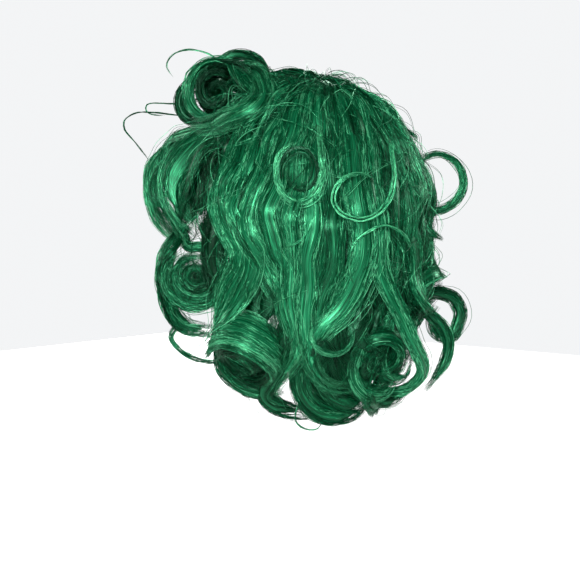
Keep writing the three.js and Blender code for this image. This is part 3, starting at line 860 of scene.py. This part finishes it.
def right_curls():
    """The loop and the rings that stand out at the right edge."""
    return [
        lock([hanging((112, 46, 20)), face_on((104, 66, 30), (111, 48, 32), (114, 30, 30), (116, 14, 26),
            (122, 5, 20), (134, 3, 18), (147, 10, 18), (156, 24, 18), (154, 40, 18), (145, 50, 18),
            (131, 54, 20), (119, 50, 24), (110, 40, 28), (104, 26, 32))], 8, 7, 110, 0.5, root=0.8, tip=0.3,
            step=3.5, loose=0.02),
        lock(face_on((108, -30, 30), (114, -54, 26), (122, -72, 20), (136, -75, 17), (149, -80, 16),
            (155, -92, 16), (152, -104, 16), (145, -115, 17), (132, -112, 20), (126, -98, 22),
            (132, -86, 24)), 10, 8, 150, 0.4, root=0.8, tip=0.5, step=3.5),
        lock(face_on((112, -74, 34), (124, -92, 30), (136, -104, 26), (143, -120, 24), (141, -138, 24),
            (130, -154, 26), (120, -164, 30)), 10, 7, 130, 0.4, root=0.8, tip=0.4, step=3.5),
        lock(face_on((112, 4, 30), (118, -10, 32), (125, -19, 34), (136, -24, 34)), 8, 5, 60, 0.3, root=0.9,
            tip=0.1, step=3.5, loose=0),
    ]


def nape_curls():
    """The curls along the neck."""
    return [
        lock(dressed((-8, -96, 100), (-10, -122, 94), (-18, -144, 84), (-26, -160, 74), (-18, -172, 68),
            (-2, -178, 64), (16, -180, 60)), 18, 12, 190, 0.32, **NAPE_CURL),
        lock(dressed((8, -110, 98), (4, -136, 92), (6, -158, 84), (18, -174, 76), (36, -180, 68),
            (54, -178, 62), (66, -166, 58)), 20, 12, 200, 0.42, **NAPE_CURL),
        lock(dressed((40, -120, 88), (48, -142, 80), (60, -160, 70), (78, -170, 58), (94, -168, 50),
            (102, -156, 46)), 16, 10, 160, 0.35, **NAPE_CURL),
        lock(dressed((-70, -120, 76), (-62, -142, 72), (-46, -154, 70), (-28, -160, 68), (-10, -158, 66)),
            16, 10, 150, 0.25, **NAPE_CURL),
        lock(ring((74, -124, 82), (22, 8), (-60, 400), axis=(0.2, -0.5, 0.84)), 22, 9, 200, 0.5, root=0.9,
            tip=0.8, step=4.5, swirl=1.5),
        lock(dressed((66, -104, 92), (58, -122, 88), (54, -142, 84), (62, -158, 78), (78, -160, 74),
            (88, -148, 72)), 18, 10, 170, 0.55, **NAPE_CURL),
        lock(dressed((88, -84, 84), (80, -104, 84), (76, -126, 80), (82, -144, 74), (96, -146, 68),
            (102, -134, 66)), 14, 9, 140, 0.5, **NAPE_CURL),
        lock(dressed((22, -116, 88), (20, -142, 80), (32, -162, 72), (52, -170, 66), (68, -160, 62)), 26, 12,
            190, 0.35, tip=0.8, step=5),
        lock(dressed((-34, -112, 78), (-36, -134, 74), (-30, -152, 70), (-16, -164, 66)), 30, 14, 170, 0.15,
            root=0.9, tip=0.8, step=5),
        lock(dressed((40, -100, 84), (36, -124, 80), (40, -146, 74), (52, -160, 66)), 34, 14, 190, 0.15,
            root=0.9, tip=0.8, step=5),
        lock(dressed((84, -96, 60), (90, -120, 56), (92, -142, 50), (86, -158, 46)), 34, 14, 170, 0.15,
            root=0.9, tip=0.8, step=5),
        lock(dressed((2, -172, 68), (0, -186, 68), (8, -194, 68), (20, -194, 68), (26, -184, 66)), 2, 2, 14,
            0.4, root=0.9, tip=0.6, step=3.5, loose=0, wave=0.1, radius=0.28),
    ]


def back_curls():
    """The curls that end the hair from the middle of the back round to the right ear."""
    locks = []
    curls = [(103, 138, 22, 1), (124, 126, 26, -1), (146, 132, 23, 1), (166, 122, 22, -1)]
    for turn, fall, radius, way in curls:
        spot = head((turn, fall, 24 + 0.4 * lift(turn, fall)))[0]
        facing = math.degrees(math.atan2(spot[1], spot[0]))
        centre, axis = axes(facing) @ spot, (0.3 * way, -0.55, 0.78)
        feed = hanging((turn + 4 * way, 78, 22), (turn - 4 * way, 96, 22), (turn - 2 * way, 108, 23))
        coil = ring(centre, (radius, radius - 3), (0, 340 * way), axis=axis, facing=facing)
        core = ring(centre, (radius - 6, 4), (0, 500 * way), axis=axis, facing=facing)
        path = [from_whorl(turn + 5 * way, 60, 22), feed, coil]
        locks.append(lock(path, 26, 10, 240, 0.5, step=6.5, tip=0.8, billow=1.6))
        locks.append(lock(core, 24, 8, 130, 0.15, root=0.9, tip=0.8, step=4.5, swirl=1))
    return locks


def crown_flick():
    """The short pointed lock that sticks out of the crown's right edge."""
    foot = hanging((112, 30, 14), (117, 38, 16), (121, 45, 16))
    point = dressed((104, 77, 12), (114, 70, 10), (110, 64, 10))
    return [lock([foot, point], 10, 5, 90, 0.3, root=0.6, tip=0.15, step=4, loose=0)]


FLYAWAY_TRIES = 860
FACE_EDGE = 28  # degrees of turn forward of the ears, beyond which no flyaway hangs below the brow
BROW_FALL = 36


def flyaways():
    """Single fine hairs that stand off the outline in loose arcs."""
    rng = np.random.default_rng(5)
    locks = []
    for _ in range(FLYAWAY_TRIES):
        turn, fall = rng.uniform(-150, 210), rng.uniform(14, 122)
        if not -FACE_EDGE <= turn <= 180 + FACE_EDGE and fall > BROW_FALL:
            continue
        lean, reach = rng.normal(0, 18), min(20, abs(rng.normal(0, 10)) + 3)
        out = 20 + 0.8 * lift(turn, fall) - 8 * (fall < 34)
        places = [(turn, fall, out - 5), (turn + 0.4 * lean, fall + 5, out + 0.6 * reach),
                  (turn + lean, fall + 11, out + reach), (turn + 1.6 * lean, fall + 19, out + 0.7 * reach),
                  (turn + 1.9 * lean, fall + 25, out + 0.1 * reach)]
        locks.append(lock(head(*places), 5, 4, 3, rng.uniform(0.1, 0.9), root=0.6, tip=2.2, wave=1.6, loose=0,
                          ends=(0.5, 1), radius=0.21, swirl=1, clump=1))
    return locks


hair_piece("left_cheek_curl_hair", cheek_curl(), ["left_cheek_curl"])
hair_piece("right_cheek_curl_hair", mirrored(cheek_curl()), ["right_cheek_curl"])
hair_piece("left_barrel_curl_hair", barrel_curl(), ["left_barrel_curl"])
hair_piece("right_barrel_curl_hair", mirrored(barrel_curl()), ["right_barrel_curl"])
hair_piece("pin_curl_hair", pin_curl(), ["back_pin_curl"])
hair_piece("thin_back_loops", thin_loops())
hair_piece("left_back_locks", back_locks())
hair_piece("right_back_locks", right_locks())
hair_piece("right_edge_curls", right_curls(), ["right_end_curl", "right_back_loop"])
hair_piece("nape_curl_hair", nape_curls(), ["left_nape_curl", "centre_nape_curl"])
hair_piece("right_nape_curl_hair", mirrored(nape_curls()[:4] + nape_curls()[8:11]), ["right_nape_curl"])
hair_piece("back_curl_hair", back_curls())
hair_piece("crown_flick_hair", crown_flick(), ["crown_flick"])
hair_piece("flyaway_hair", flyaways())


# ---- Cap: shapes ----
BAND_WIDTH = 10
PANEL_GAP = 0.6  # the width of the seams between panels, in degrees of fall
PATCH_FALL = 30
NAPE_SEAM_FALL = 100
RIM_AWAY = np.array([0, 30, 50, 70, 85, 100, 120, 140, 160, 180])  # degrees round from the back of the head
RIM_FALL = np.array([119, 117, 107, 95, 89, 87, 85, 79, 74, 72])
FRONT, SIDE, BACK, NAPE = (-138, -42), (-41.5, 38), (38.5, 89.8), (38.5, 141.5)


def rim(turn):
    """The fall of the cap's edge, eased between the corners of RIM_FALL."""
    away = np.abs((np.asarray(turn, float) - 90 + 180) % 360 - 180)
    after = np.clip(np.searchsorted(RIM_AWAY, away), 1, len(RIM_AWAY) - 1)
    share = (away - RIM_AWAY[after - 1]) / (RIM_AWAY[after] - RIM_AWAY[after - 1])
    share = share * share * (3 - 2 * share)
    return RIM_FALL[after - 1] + (RIM_FALL[after] - RIM_FALL[after - 1]) * share


def band_top(turn):
    return rim(turn) - BAND_WIDTH / MM_PER_DEGREE


def panel_edge(turn):
    return band_top(turn) - PANEL_GAP / 2


def back_edge(turn):
    return np.minimum(panel_edge(turn), NAPE_SEAM_FALL - PANEL_GAP / 2)


def velvet_top(turn):
    return band_top(turn) + 0.2


def velvet_edge(turn):
    return rim(turn) - 0.2


def rib_end(turn):
    return band_top(turn) - PANEL_GAP


def tab_seam(turn):
    return rim(turn) + 0.8


def level(limit, turn):
    """A limit at each turn, whether it is one number or a function of the turn."""
    return limit(turn) if callable(limit) else np.full(np.shape(turn), float(limit))


def other_side(turns):
    return 180 - turns[1], 180 - turns[0]


def both_sides(turns):
    return [("left", turns), ("right", other_side(turns))]


def on_cap(*places):
    return head(*places, depth=CAP_HALF_DEPTH)


def slab_mesh(name, turns, falls, outs, grid, thinning=0.5):
    """A closed curved sheet between two turns, two falls and two distances off the head. It thins at its
    edges."""
    across = math.ceil((turns[1] - turns[0]) * 1.6 / grid) + 1
    turn = np.linspace(*turns, across)
    top, bottom = level(falls[0], turn), level(falls[1], turn)
    down = math.ceil((bottom - top).max() * MM_PER_DEGREE / grid) + 2
    u, v = np.meshgrid(np.linspace(-1, 1, across), np.linspace(-1, 1, down))
    fall = top + (bottom - top) * (v + 1) / 2
    turn = np.broadcast_to(turn, fall.shape)
    edge = 1 - thinning * np.maximum(np.abs(u), np.abs(v)) ** 12
    middle = sum(outs) / 2
    layers = [np.stack([turn, fall, middle + (out - middle) * edge], -1).reshape(-1, 3) for out in outs]
    inner, outer = np.arange(2 * across * down).reshape(2, down, across)
    ring_of = [np.concatenate([grid_of[:-1, 0], grid_of[-1, :-1], grid_of[:0:-1, -1], grid_of[0, :0:-1]])
               for grid_of in (inner, outer)]
    after = [np.roll(loop, -1) for loop in ring_of]
    faces = [np.stack([outer[:-1, :-1], outer[1:, :-1], outer[1:, 1:], outer[:-1, 1:]], -1).reshape(-1, 4),
             np.stack([inner[:-1, :-1], inner[:-1, 1:], inner[1:, 1:], inner[1:, :-1]], -1).reshape(-1, 4),
             np.stack([after[1], ring_of[1], ring_of[0], after[0]], -1)]
    mesh = bpy.data.meshes.new(name)
    mesh.from_pydata((on_cap(*np.vstack(layers)) * MM).tolist(), [], np.vstack(faces).tolist())
    rows = np.vstack(layers)
    round_by = np.radians(rows[:, 0] - sum(turns) / 2)
    reach = CAP_HALF_DEPTH * round_by * np.sin(np.radians(np.minimum(rows[:, 1], 90)))
    return straightened(mesh, np.stack([reach, rows[:, 2], rows[:, 1] * MM_PER_DEGREE], -1))


def tube(points, radius, sides=6, flat=1.0):
    """One closed tube along points that lie off the head, as a bundle for tube_mesh. `flat` is its height
    for a width of one."""
    tangent = unit(np.gradient(points, axis=0))
    normal = square_to(outward(points), tangent)
    turn = circle(sides)[None]
    across, off = radius * np.cos(turn), radius * flat * np.sin(turn)
    rings = sections(points, np.cross(tangent, normal), normal, across, off)
    return rings[None], carry(0.5, across, off, lengths(points)[:, None])[None]


def seam_points(turns, falls, out, step):
    """Points every `step` millimetres along a line from one turn and fall to another."""
    turn = np.linspace(*turns, 60)
    fall = falls(turn) if callable(falls) else np.linspace(*falls, 60)
    points = on_cap(*carry(turn, fall, out))
    gone = lengths(points)
    return at_lengths(np.linspace(0, gone[-1], max(3, round(gone[-1] / step))), gone, points)


THREAD = 0.22  # the sewing thread's radius
DIPS = np.array([-0.3, 0.12, 0.12, -0.3])[:, None]  # how far a stitch's four points stand off the cloth


def zigzag(turns, falls, out, width=2.2, step=1.5):
    """A sewn zigzag along a seam."""
    points = seam_points(turns, falls, out, step)
    side = unit(np.cross(unit(np.gradient(points, axis=0)), outward(points)))
    points = points + side * (np.arange(len(points)) % 2 - 0.5)[:, None] * width
    return tube(points, THREAD, sides=4)


def running_stitches(turns, falls, out, length=2.4, gap=1.3):
    """A row of short stitches, each of which dips into the cloth at its ends."""
    points = seam_points(turns, falls, out, (length + gap) / 4)
    fours = [points[first:first + 4] for first in range(0, len(points) - 4, 4)]
    return [tube(four + DIPS * outward(four), THREAD, sides=5) for four in fours]


# ---- Cap: materials ----
def cloth_material(name, dark, light, threads, relief, roughness, sheen=0.0):
    """A weave of crossing threads: `threads` are the millimetres from thread to thread across and
    down."""
    look = material_look(name)
    place = look.carried("straight", "Vector")
    apart = look.add("SeparateXYZ", {"Vector": place})
    waves = [look.math("SINE", look.math("MULTIPLY", apart.outputs[axis], 2 * math.pi / pitch))
             for axis, pitch in zip("XZ", threads)]
    weave = look.math("MULTIPLY_ADD", look.math("MULTIPLY", *waves), 0.5, 0.5)
    wear = look.streaks(place, 0.25, 0.25)
    shade = look.math("ADD", look.math("MULTIPLY", weave, 0.6), look.math("MULTIPLY_ADD", wear, 0.9, -0.25))
    colour = look.ramp(shade, (0.05, dark), (0.95, light))
    return look.shade(colour, look.math("MULTIPLY_ADD", wear, 0.25, roughness - 0.12), weave, 0.8, relief,
                      Sheen_Weight=sheen, Sheen_Roughness=0.4)


def plastic_material(name, colour, roughness):
    """Moulded plastic: a faint orange peel and small scuffs."""
    look = material_look(name)
    place = look.add("TexCoord").outputs["Object"]
    peel, scuff = [look.noise(place, scale) for scale in (1400, 260)]
    worn = tuple(1.7 * part + 0.004 for part in colour)
    return look.shade(look.ramp(scuff, (0.35, colour), (0.8, worn)),
                      look.math("MULTIPLY_ADD", scuff, 0.3, roughness - 0.15), peel, 0.25, 0.05)


def mixed(*parts):
    """A colour from thousandths of red, green and blue."""
    return tuple(part / 1000 for part in parts)


NET = cloth_material("knitted_net", mixed(4, 26, 15), mixed(24, 120, 68), (1.1, 1.1), 0.3, 0.75, 0.15)
VELVET = cloth_material("velvet_band", mixed(4, 10, 8), mixed(12, 36, 26), (0.5, 0.5), 0.1, 0.9, 0.25)
TAPE = cloth_material("woven_tape", mixed(6, 22, 15), mixed(36, 85, 62), (1.2, 0.6), 0.2, 0.7, 0.1)
ELASTIC = cloth_material("ribbed_elastic", mixed(12, 20, 18), mixed(60, 85, 75), (0.9, 0.7), 0.15, 0.65)
SEWING_THREAD = cloth_material("sewing_thread", mixed(25, 90, 58), mixed(90, 260, 180), (0.4, 0.5), 0.08, 0.5)
HOOK_PLASTIC = plastic_material("hook_plastic", mixed(12, 13, 13), 0.32)
STAY_PLASTIC = plastic_material("stay_plastic", mixed(30, 34, 33), 0.42)


# ---- Cap: pieces ----
def add_slab(name, cap, material, nodes, body="wig"):
    """A flat piece of the cap: `cap` is its turns, its falls, its distances off the head and its grid."""
    return add_piece(name, slab_mesh(name, *cap), material, nodes, body)


def add_cloth(name, node, turns, falls, hung_from):
    """A panel of the cap. The width along its middle is worked out, but not used."""
    piece = add_slab(name, (turns, falls, (2.15, 2.75), 3.0, 0.2), NET, [node])
    middle = np.linspace(*turns, 30)
    top, bottom = level(falls[0], middle), level(falls[1], middle)
    width = step_lengths(on_cap(*carry(middle, (top + bottom) / 2, 2.4))).sum() * MM


CORD_SLOPE = 0.9
CORD_SPACING = 4.2
CORD_FALL = 60  # degrees of fall that a cord's slant is drawn over


def net_cords(turns, top, edge):
    """Two crossing sets of slanting cords inside a panel."""
    cords = []
    share = np.linspace(0, 1, 26)
    reach = CORD_SLOPE * (level(edge, np.array([sum(turns) / 2]))[0] - top)
    for way in (1, -1):
        for first in np.arange(turns[0] - reach, turns[1] + reach, CORD_SPACING):
            turn = first + way * CORD_SLOPE * CORD_FALL * (share - 0.5)
            inside = np.flatnonzero((turn > turns[0] + 0.3) & (turn < turns[1] - 0.3))
            if len(inside) > 3:
                rows = carry(turn, top + (level(edge, turn) - top) * share, 2.0)[inside]
                cords.append(tube(on_cap(*rows), 0.28, sides=4))
    return cords


def panels():
    top = PATCH_FALL + PANEL_GAP / 2
    add_cloth("front_panel_net", "front_panel", FRONT, (top, panel_edge), "forehead_band")
    cords = net_cords(FRONT, top, panel_edge)
    for part, part_turns, edge, hung_from in [("side", SIDE, panel_edge, "{}_ear_band"),
                                              ("back", BACK, back_edge, "nape_band")]:
        for side, turns in both_sides(part_turns):
            names = f"{side}_{part}_panel_net", f"{side}_{part}_net"
            add_cloth(*names, turns, (top, edge), hung_from.format(side))
            cords += net_cords(turns, top, edge)
    add_cloth("nape_panel_net", "nape_panel", NAPE, (NAPE_SEAM_FALL + PANEL_GAP / 2, panel_edge), "nape_band")
    add_tubes("cap_net_cords", cords, SEWING_THREAD)


def crown_patch():
    shell = dome_shell(on_dome(0, 0), PATCH_FALL, (1.9, 2.8), 0, 0.5, on_cap)
    piece = add_tubes("crown_patch_lace", [shell], NET, ["crown_patch"])


INNER_STITCH, OUTER_STITCH = 1.75, 3.35


def bands():
    """The velvet edge of the cap, with a bead along each side and two rows of stitches."""
    beads, stitches = [], []
    ears = [(f"{side}_ear_band", turns) for side, turns in both_sides(SIDE)]
    for name, turns in [("forehead_band", FRONT), *ears, ("nape_band", NAPE)]:
        cap = (turns, (velvet_top, velvet_edge), (1.8, 3.3), 1.6)
        add_slab(f"{name}_velvet", cap, VELVET, [name])
        beads += [tube(seam_points(turns, edge, 2.6, 3), 0.8, sides=8) for edge in (velvet_top, velvet_edge)]
        for share in (0.18, 0.82):

            def row(turn):
                return velvet_top(turn) + share * (velvet_edge(turn) - velvet_top(turn))

            for out in (INNER_STITCH, OUTER_STITCH):
                stitches += running_stitches(turns, row, out)
    add_tubes("edge_band_beads", beads, VELVET)
    add_tubes("edge_band_stitches", stitches, SEWING_THREAD)


TAPE_OUTS = (0.35, 1.25)
RIB_HALF = 3.0  # degrees of turn
RIBS = [("left_front_rib", -41.8), ("right_front_rib", 221.8), ("left_back_rib", 38.2),
        ("right_back_rib", 141.8), ("centre_rib", 90)]


def ribs_and_seams():
    seams = []
    for name, turn in RIBS:
        cap = ((turn - RIB_HALF, turn + RIB_HALF), (PATCH_FALL + 2, rib_end), TAPE_OUTS, 1.6)
        add_slab(f"{name}_tape", cap, TAPE, [name])
        falls = (PATCH_FALL + 3, float(rib_end(np.array([turn]))[0]) - 1)
        for at in (turn - 0.75 * RIB_HALF, turn + 0.75 * RIB_HALF):
            seams.append(zigzag((at, at), falls, 0.3, width=1.6))
        seams.append(zigzag((turn, turn), falls, 2.9))
    for out in (3.0, 1.7):
        seams.append(zigzag((0, 360), (PATCH_FALL + 0.3, PATCH_FALL + 0.3), out, width=3))
    seams.append(zigzag(NAPE, (NAPE_SEAM_FALL, NAPE_SEAM_FALL), 1.9, width=2.6))
    add_tubes("cap_seam_stitches", seams, SEWING_THREAD)


WEFTS = {"weft_row_1": (-38, 218, 42), "weft_row_2": (-38, 218, 57), "weft_row_3": (-36, 216, 72),
         "weft_row_4": (34, 146, 87), "weft_row_5": (50, 130, 103), "front_weft": (-136, -44, 50)}


def wefts():
    """The tracks that the hair is sewn along, from one turn to another at a fall, each with its
    zigzag."""
    stitches = []
    half = 1.5 / MM_PER_DEGREE
    for name, (first, last, fall) in WEFTS.items():
        cap = ((first, last), (fall - half, fall + half), (3.6, 4.9), 1.4)
        add_slab(f"{name}_track", cap, TAPE, [name])
        stitches.append(zigzag((first, last), (fall, fall), 4.95, width=2.4, step=1.2))
    add_tubes("weft_stitches", stitches, SEWING_THREAD)


TAB_TURNS = (-31, -11)
TAB_FALL = 100


def ear_tabs():
    """The tabs that lie in front of the ears and fold inwards, each with its bound edge."""
    for side, turns in both_sides(TAB_TURNS):
        name, body = f"{side}_ear_tab", f"{side}_tab"
        cap = (turns, (tab_seam, TAB_FALL), (1.9, 3.3), 1.4)
        add_slab(f"{name}_velvet", cap, VELVET, [name], body)
        edges = [tube(seam_points(*line, 2.6, 2), 0.75, sides=8)
                 for line in tab_lines(turns, 0.3, 0, 0.2, 0.2)]
        add_tubes(f"{side}_tab_binding", edges, VELVET, body=body)
        stitches = [stitch for line in tab_lines(turns, 2, 1, 1.7, 1.4) for out in (1.85, OUTER_STITCH)
                    for stitch in running_stitches(*line, out)]
        add_tubes(f"{side}_tab_stitches", stitches, SEWING_THREAD, body=body)


def tab_lines(turns, inset, below, above, raised):
    """Turns and falls down both sides of a tab and along its lower edge, a little way in from each
    edge."""
    first, last = turns[0] + inset, turns[1] - inset
    high = [float(tab_seam(np.array([turn]))[0]) + below for turn in turns]
    low, foot = TAB_FALL - above, TAB_FALL - raised
    return [((first, first), (high[0], low)), ((last, last), (high[1], low)), ((first, last), (foot, foot))]


STRAP_FALL = 108
STRAP_OUT = -1.75
STRAP_TURNS = (36.4, 60.4)
EYE_RADIUS = 1.6


def straps():
    """Ribbed elastic: cords side by side, which run round the hook's bar and are sewn back on
    themselves."""
    joints = {joint["name"]: np.array(Vector(joint["pos_m"]) / MM) for joint in frame["joints"]}
    for side, way in (("left", 1), ("right", -1)):
        bar = joints[f"{side}_hook_pivot"]
        turns = np.linspace(*STRAP_TURNS, 14)
        turns = turns if side == "left" else 180 - turns
        run = on_cap(*carry(turns, STRAP_FALL, STRAP_OUT))
        arrive = unit((bar - run[-1]) * [1, 1, 0])
        inward = np.array([-arrive[1], arrive[0], 0]) * way
        angle = np.radians(np.linspace(-70, 235, 16))[:, None]
        eye = bar * [1, 1, 0] + EYE_RADIUS * (np.sin(angle) * arrive + np.cos(angle) * inward)
        eye[:, 2] = run[0, 2]
        smooth = spline(np.vstack([run, eye, run[[-1, -3, -4]] + inward]), 0.8)
        cords = [tube(smooth + [0, 0, rise], 0.52, flat=0.8) for rise in np.arange(-3.5, 3.6, 1.0)]
        add_tubes(f"{side}_strap_elastic", cords, ELASTIC, [f"{side}_adjuster_strap"],
                  f"{side}_strap")


LOOP_TAPE_TURNS = (77.5, 85.5)
LOOP_TAPE_HALF = 2.2  # degrees of fall
LOOP_RADIUS = 2.6


def loop_tapes():
    """The tapes in the middle of the nape, each with three sewn loops that the hook can catch."""
    falls = (STRAP_FALL - LOOP_TAPE_HALF, STRAP_FALL + LOOP_TAPE_HALF)
    for side, turns in both_sides(LOOP_TAPE_TURNS):
        name = f"{side}_loop_tape"
        add_slab(f"{name}_woven", (turns, falls, TAPE_OUTS, 0.9), TAPE, [name])
        loops = []
        for share in (0.16, 0.5, 0.84):
            foot = on_cap((turns[0] + share * (turns[1] - turns[0]), STRAP_FALL, 0.6))[0]
            inward = -unit(foot * [1, 1, 0])
            arc = np.radians(np.linspace(-8, 188, 15))[:, None]
            arch = foot + LOOP_RADIUS * (np.cos(arc) * [0, 0, 1] + np.sin(arc) * inward)
            for shift in (-0.4, 0.4):
                loops.append(tube(arch + shift * unit(np.cross([0, 0, 1], inward)), 0.42, sides=8))
        add_tubes(f"{name}_loops", loops, SEWING_THREAD)


def hard_pieces():
    """The hooks and the tab stays keep their CAD shape."""
    for side in ("left", "right"):
        for name, material in [(f"{side}_adjuster_hook", HOOK_PLASTIC), (f"{side}_tab_stay", STAY_PLASTIC)]:
            data = frame["nodes"][name].data
            data.materials.clear()
            data.materials.append(material)


crown_patch()
panels()
bands()
ribs_and_seams()
wefts()
ear_tabs()
straps()
loop_tapes()
hard_pieces()


# ---- Stage ----
FLOOR_DROP = 0.06
FLOOR_HALF = 1.1
VIEW = (130, 4)  # degrees of azimuth and elevation
DISTANCE = 1.15
SEEN_WIDTH = 0.551
SENSOR = 36
TARGET = (-0.005, -0.073)  # across the view and up, in metres


def floor():
    mesh = bpy.data.meshes.new("floor")
    low = cad_box[0][2] - FLOOR_DROP
    corners = [(x * FLOOR_HALF, y * FLOOR_HALF, low) for x, y in [(-1, -1), (1, -1), (1, 1), (-1, 1)]]
    mesh.from_pydata(corners, [], [(0, 1, 2, 3)])
    ground = bpy.data.objects.new("floor", mesh)
    bpy.context.scene.collection.objects.link(ground)
    look = material_look("pale_floor")
    look.feed(look.nodes["Principled BSDF"], {"Base Color": (0.70, 0.70, 0.70, 1), "Roughness": 0.7,
                                              "Emission Color": (1, 1, 1, 1), "Emission Strength": 0.1})
    mesh.materials.append(look.data)


def away(azimuth, elevation):
    """The direction from the wig towards a viewer."""
    a, e = math.radians(azimuth), math.radians(elevation)
    return Vector((math.sin(a) * math.cos(e), -math.cos(a) * math.cos(e), math.sin(e)))


def stand(name, data, place, back):
    """Puts a camera or a light at a place, with its back turned away from the wig."""
    thing = bpy.data.objects.new(name, data)
    thing.location = place
    thing.rotation_mode = "QUATERNION"
    thing.rotation_quaternion = (-back).to_track_quat("-Z", "Y")
    bpy.context.scene.collection.objects.link(thing)
    return thing


def camera():
    data = bpy.data.cameras.new("camera")
    data.sensor_width = SENSOR
    data.lens = SENSOR * DISTANCE / SEEN_WIDTH
    azimuth, back = math.radians(VIEW[0]), away(*VIEW)
    right = Vector((math.cos(azimuth), math.sin(azimuth), 0))
    place = right * TARGET[0] + Vector((0, 0, TARGET[1])) + back * DISTANCE
    bpy.context.scene.camera = stand("camera", data, place, back)


def area_light(name, azimuth, elevation, distance, size, power):
    data = bpy.data.lights.new(name, "AREA")
    data.shape = "DISK"
    data.size = size
    data.energy = power
    back = away(azimuth, elevation)
    stand(name, data, back * distance, back)


def room():
    """A pale background that gives little light of its own."""
    look = Look(bpy.data.worlds.new("pale_room"))
    pale = (0.90, 0.91, 0.92, 1)
    seen = look.nodes["Background"]
    look.feed(seen, {"Color": pale})
    light = look.add("Background", {"Color": pale, "Strength": 0.08})
    rays = look.add("LightPath")
    mix = look.add("MixShader", {"Fac": rays.outputs["Is Camera Ray"], 1: light.outputs["Background"],
                                 2: seen.outputs["Background"]})
    look.feed(look.nodes["World Output"], {"Surface": mix.outputs["Shader"]})
    bpy.context.scene.world = look.data
    bpy.context.scene.view_settings.view_transform = "Standard"


floor()
camera()
area_light("key", 124, 14, 1.6, 0.45, 44)
area_light("left", 30, 18, 1.8, 0.9, 26)
area_light("right", 228, 18, 1.8, 0.9, 34)
area_light("front", 322, 18, 1.8, 0.9, 34)
room()
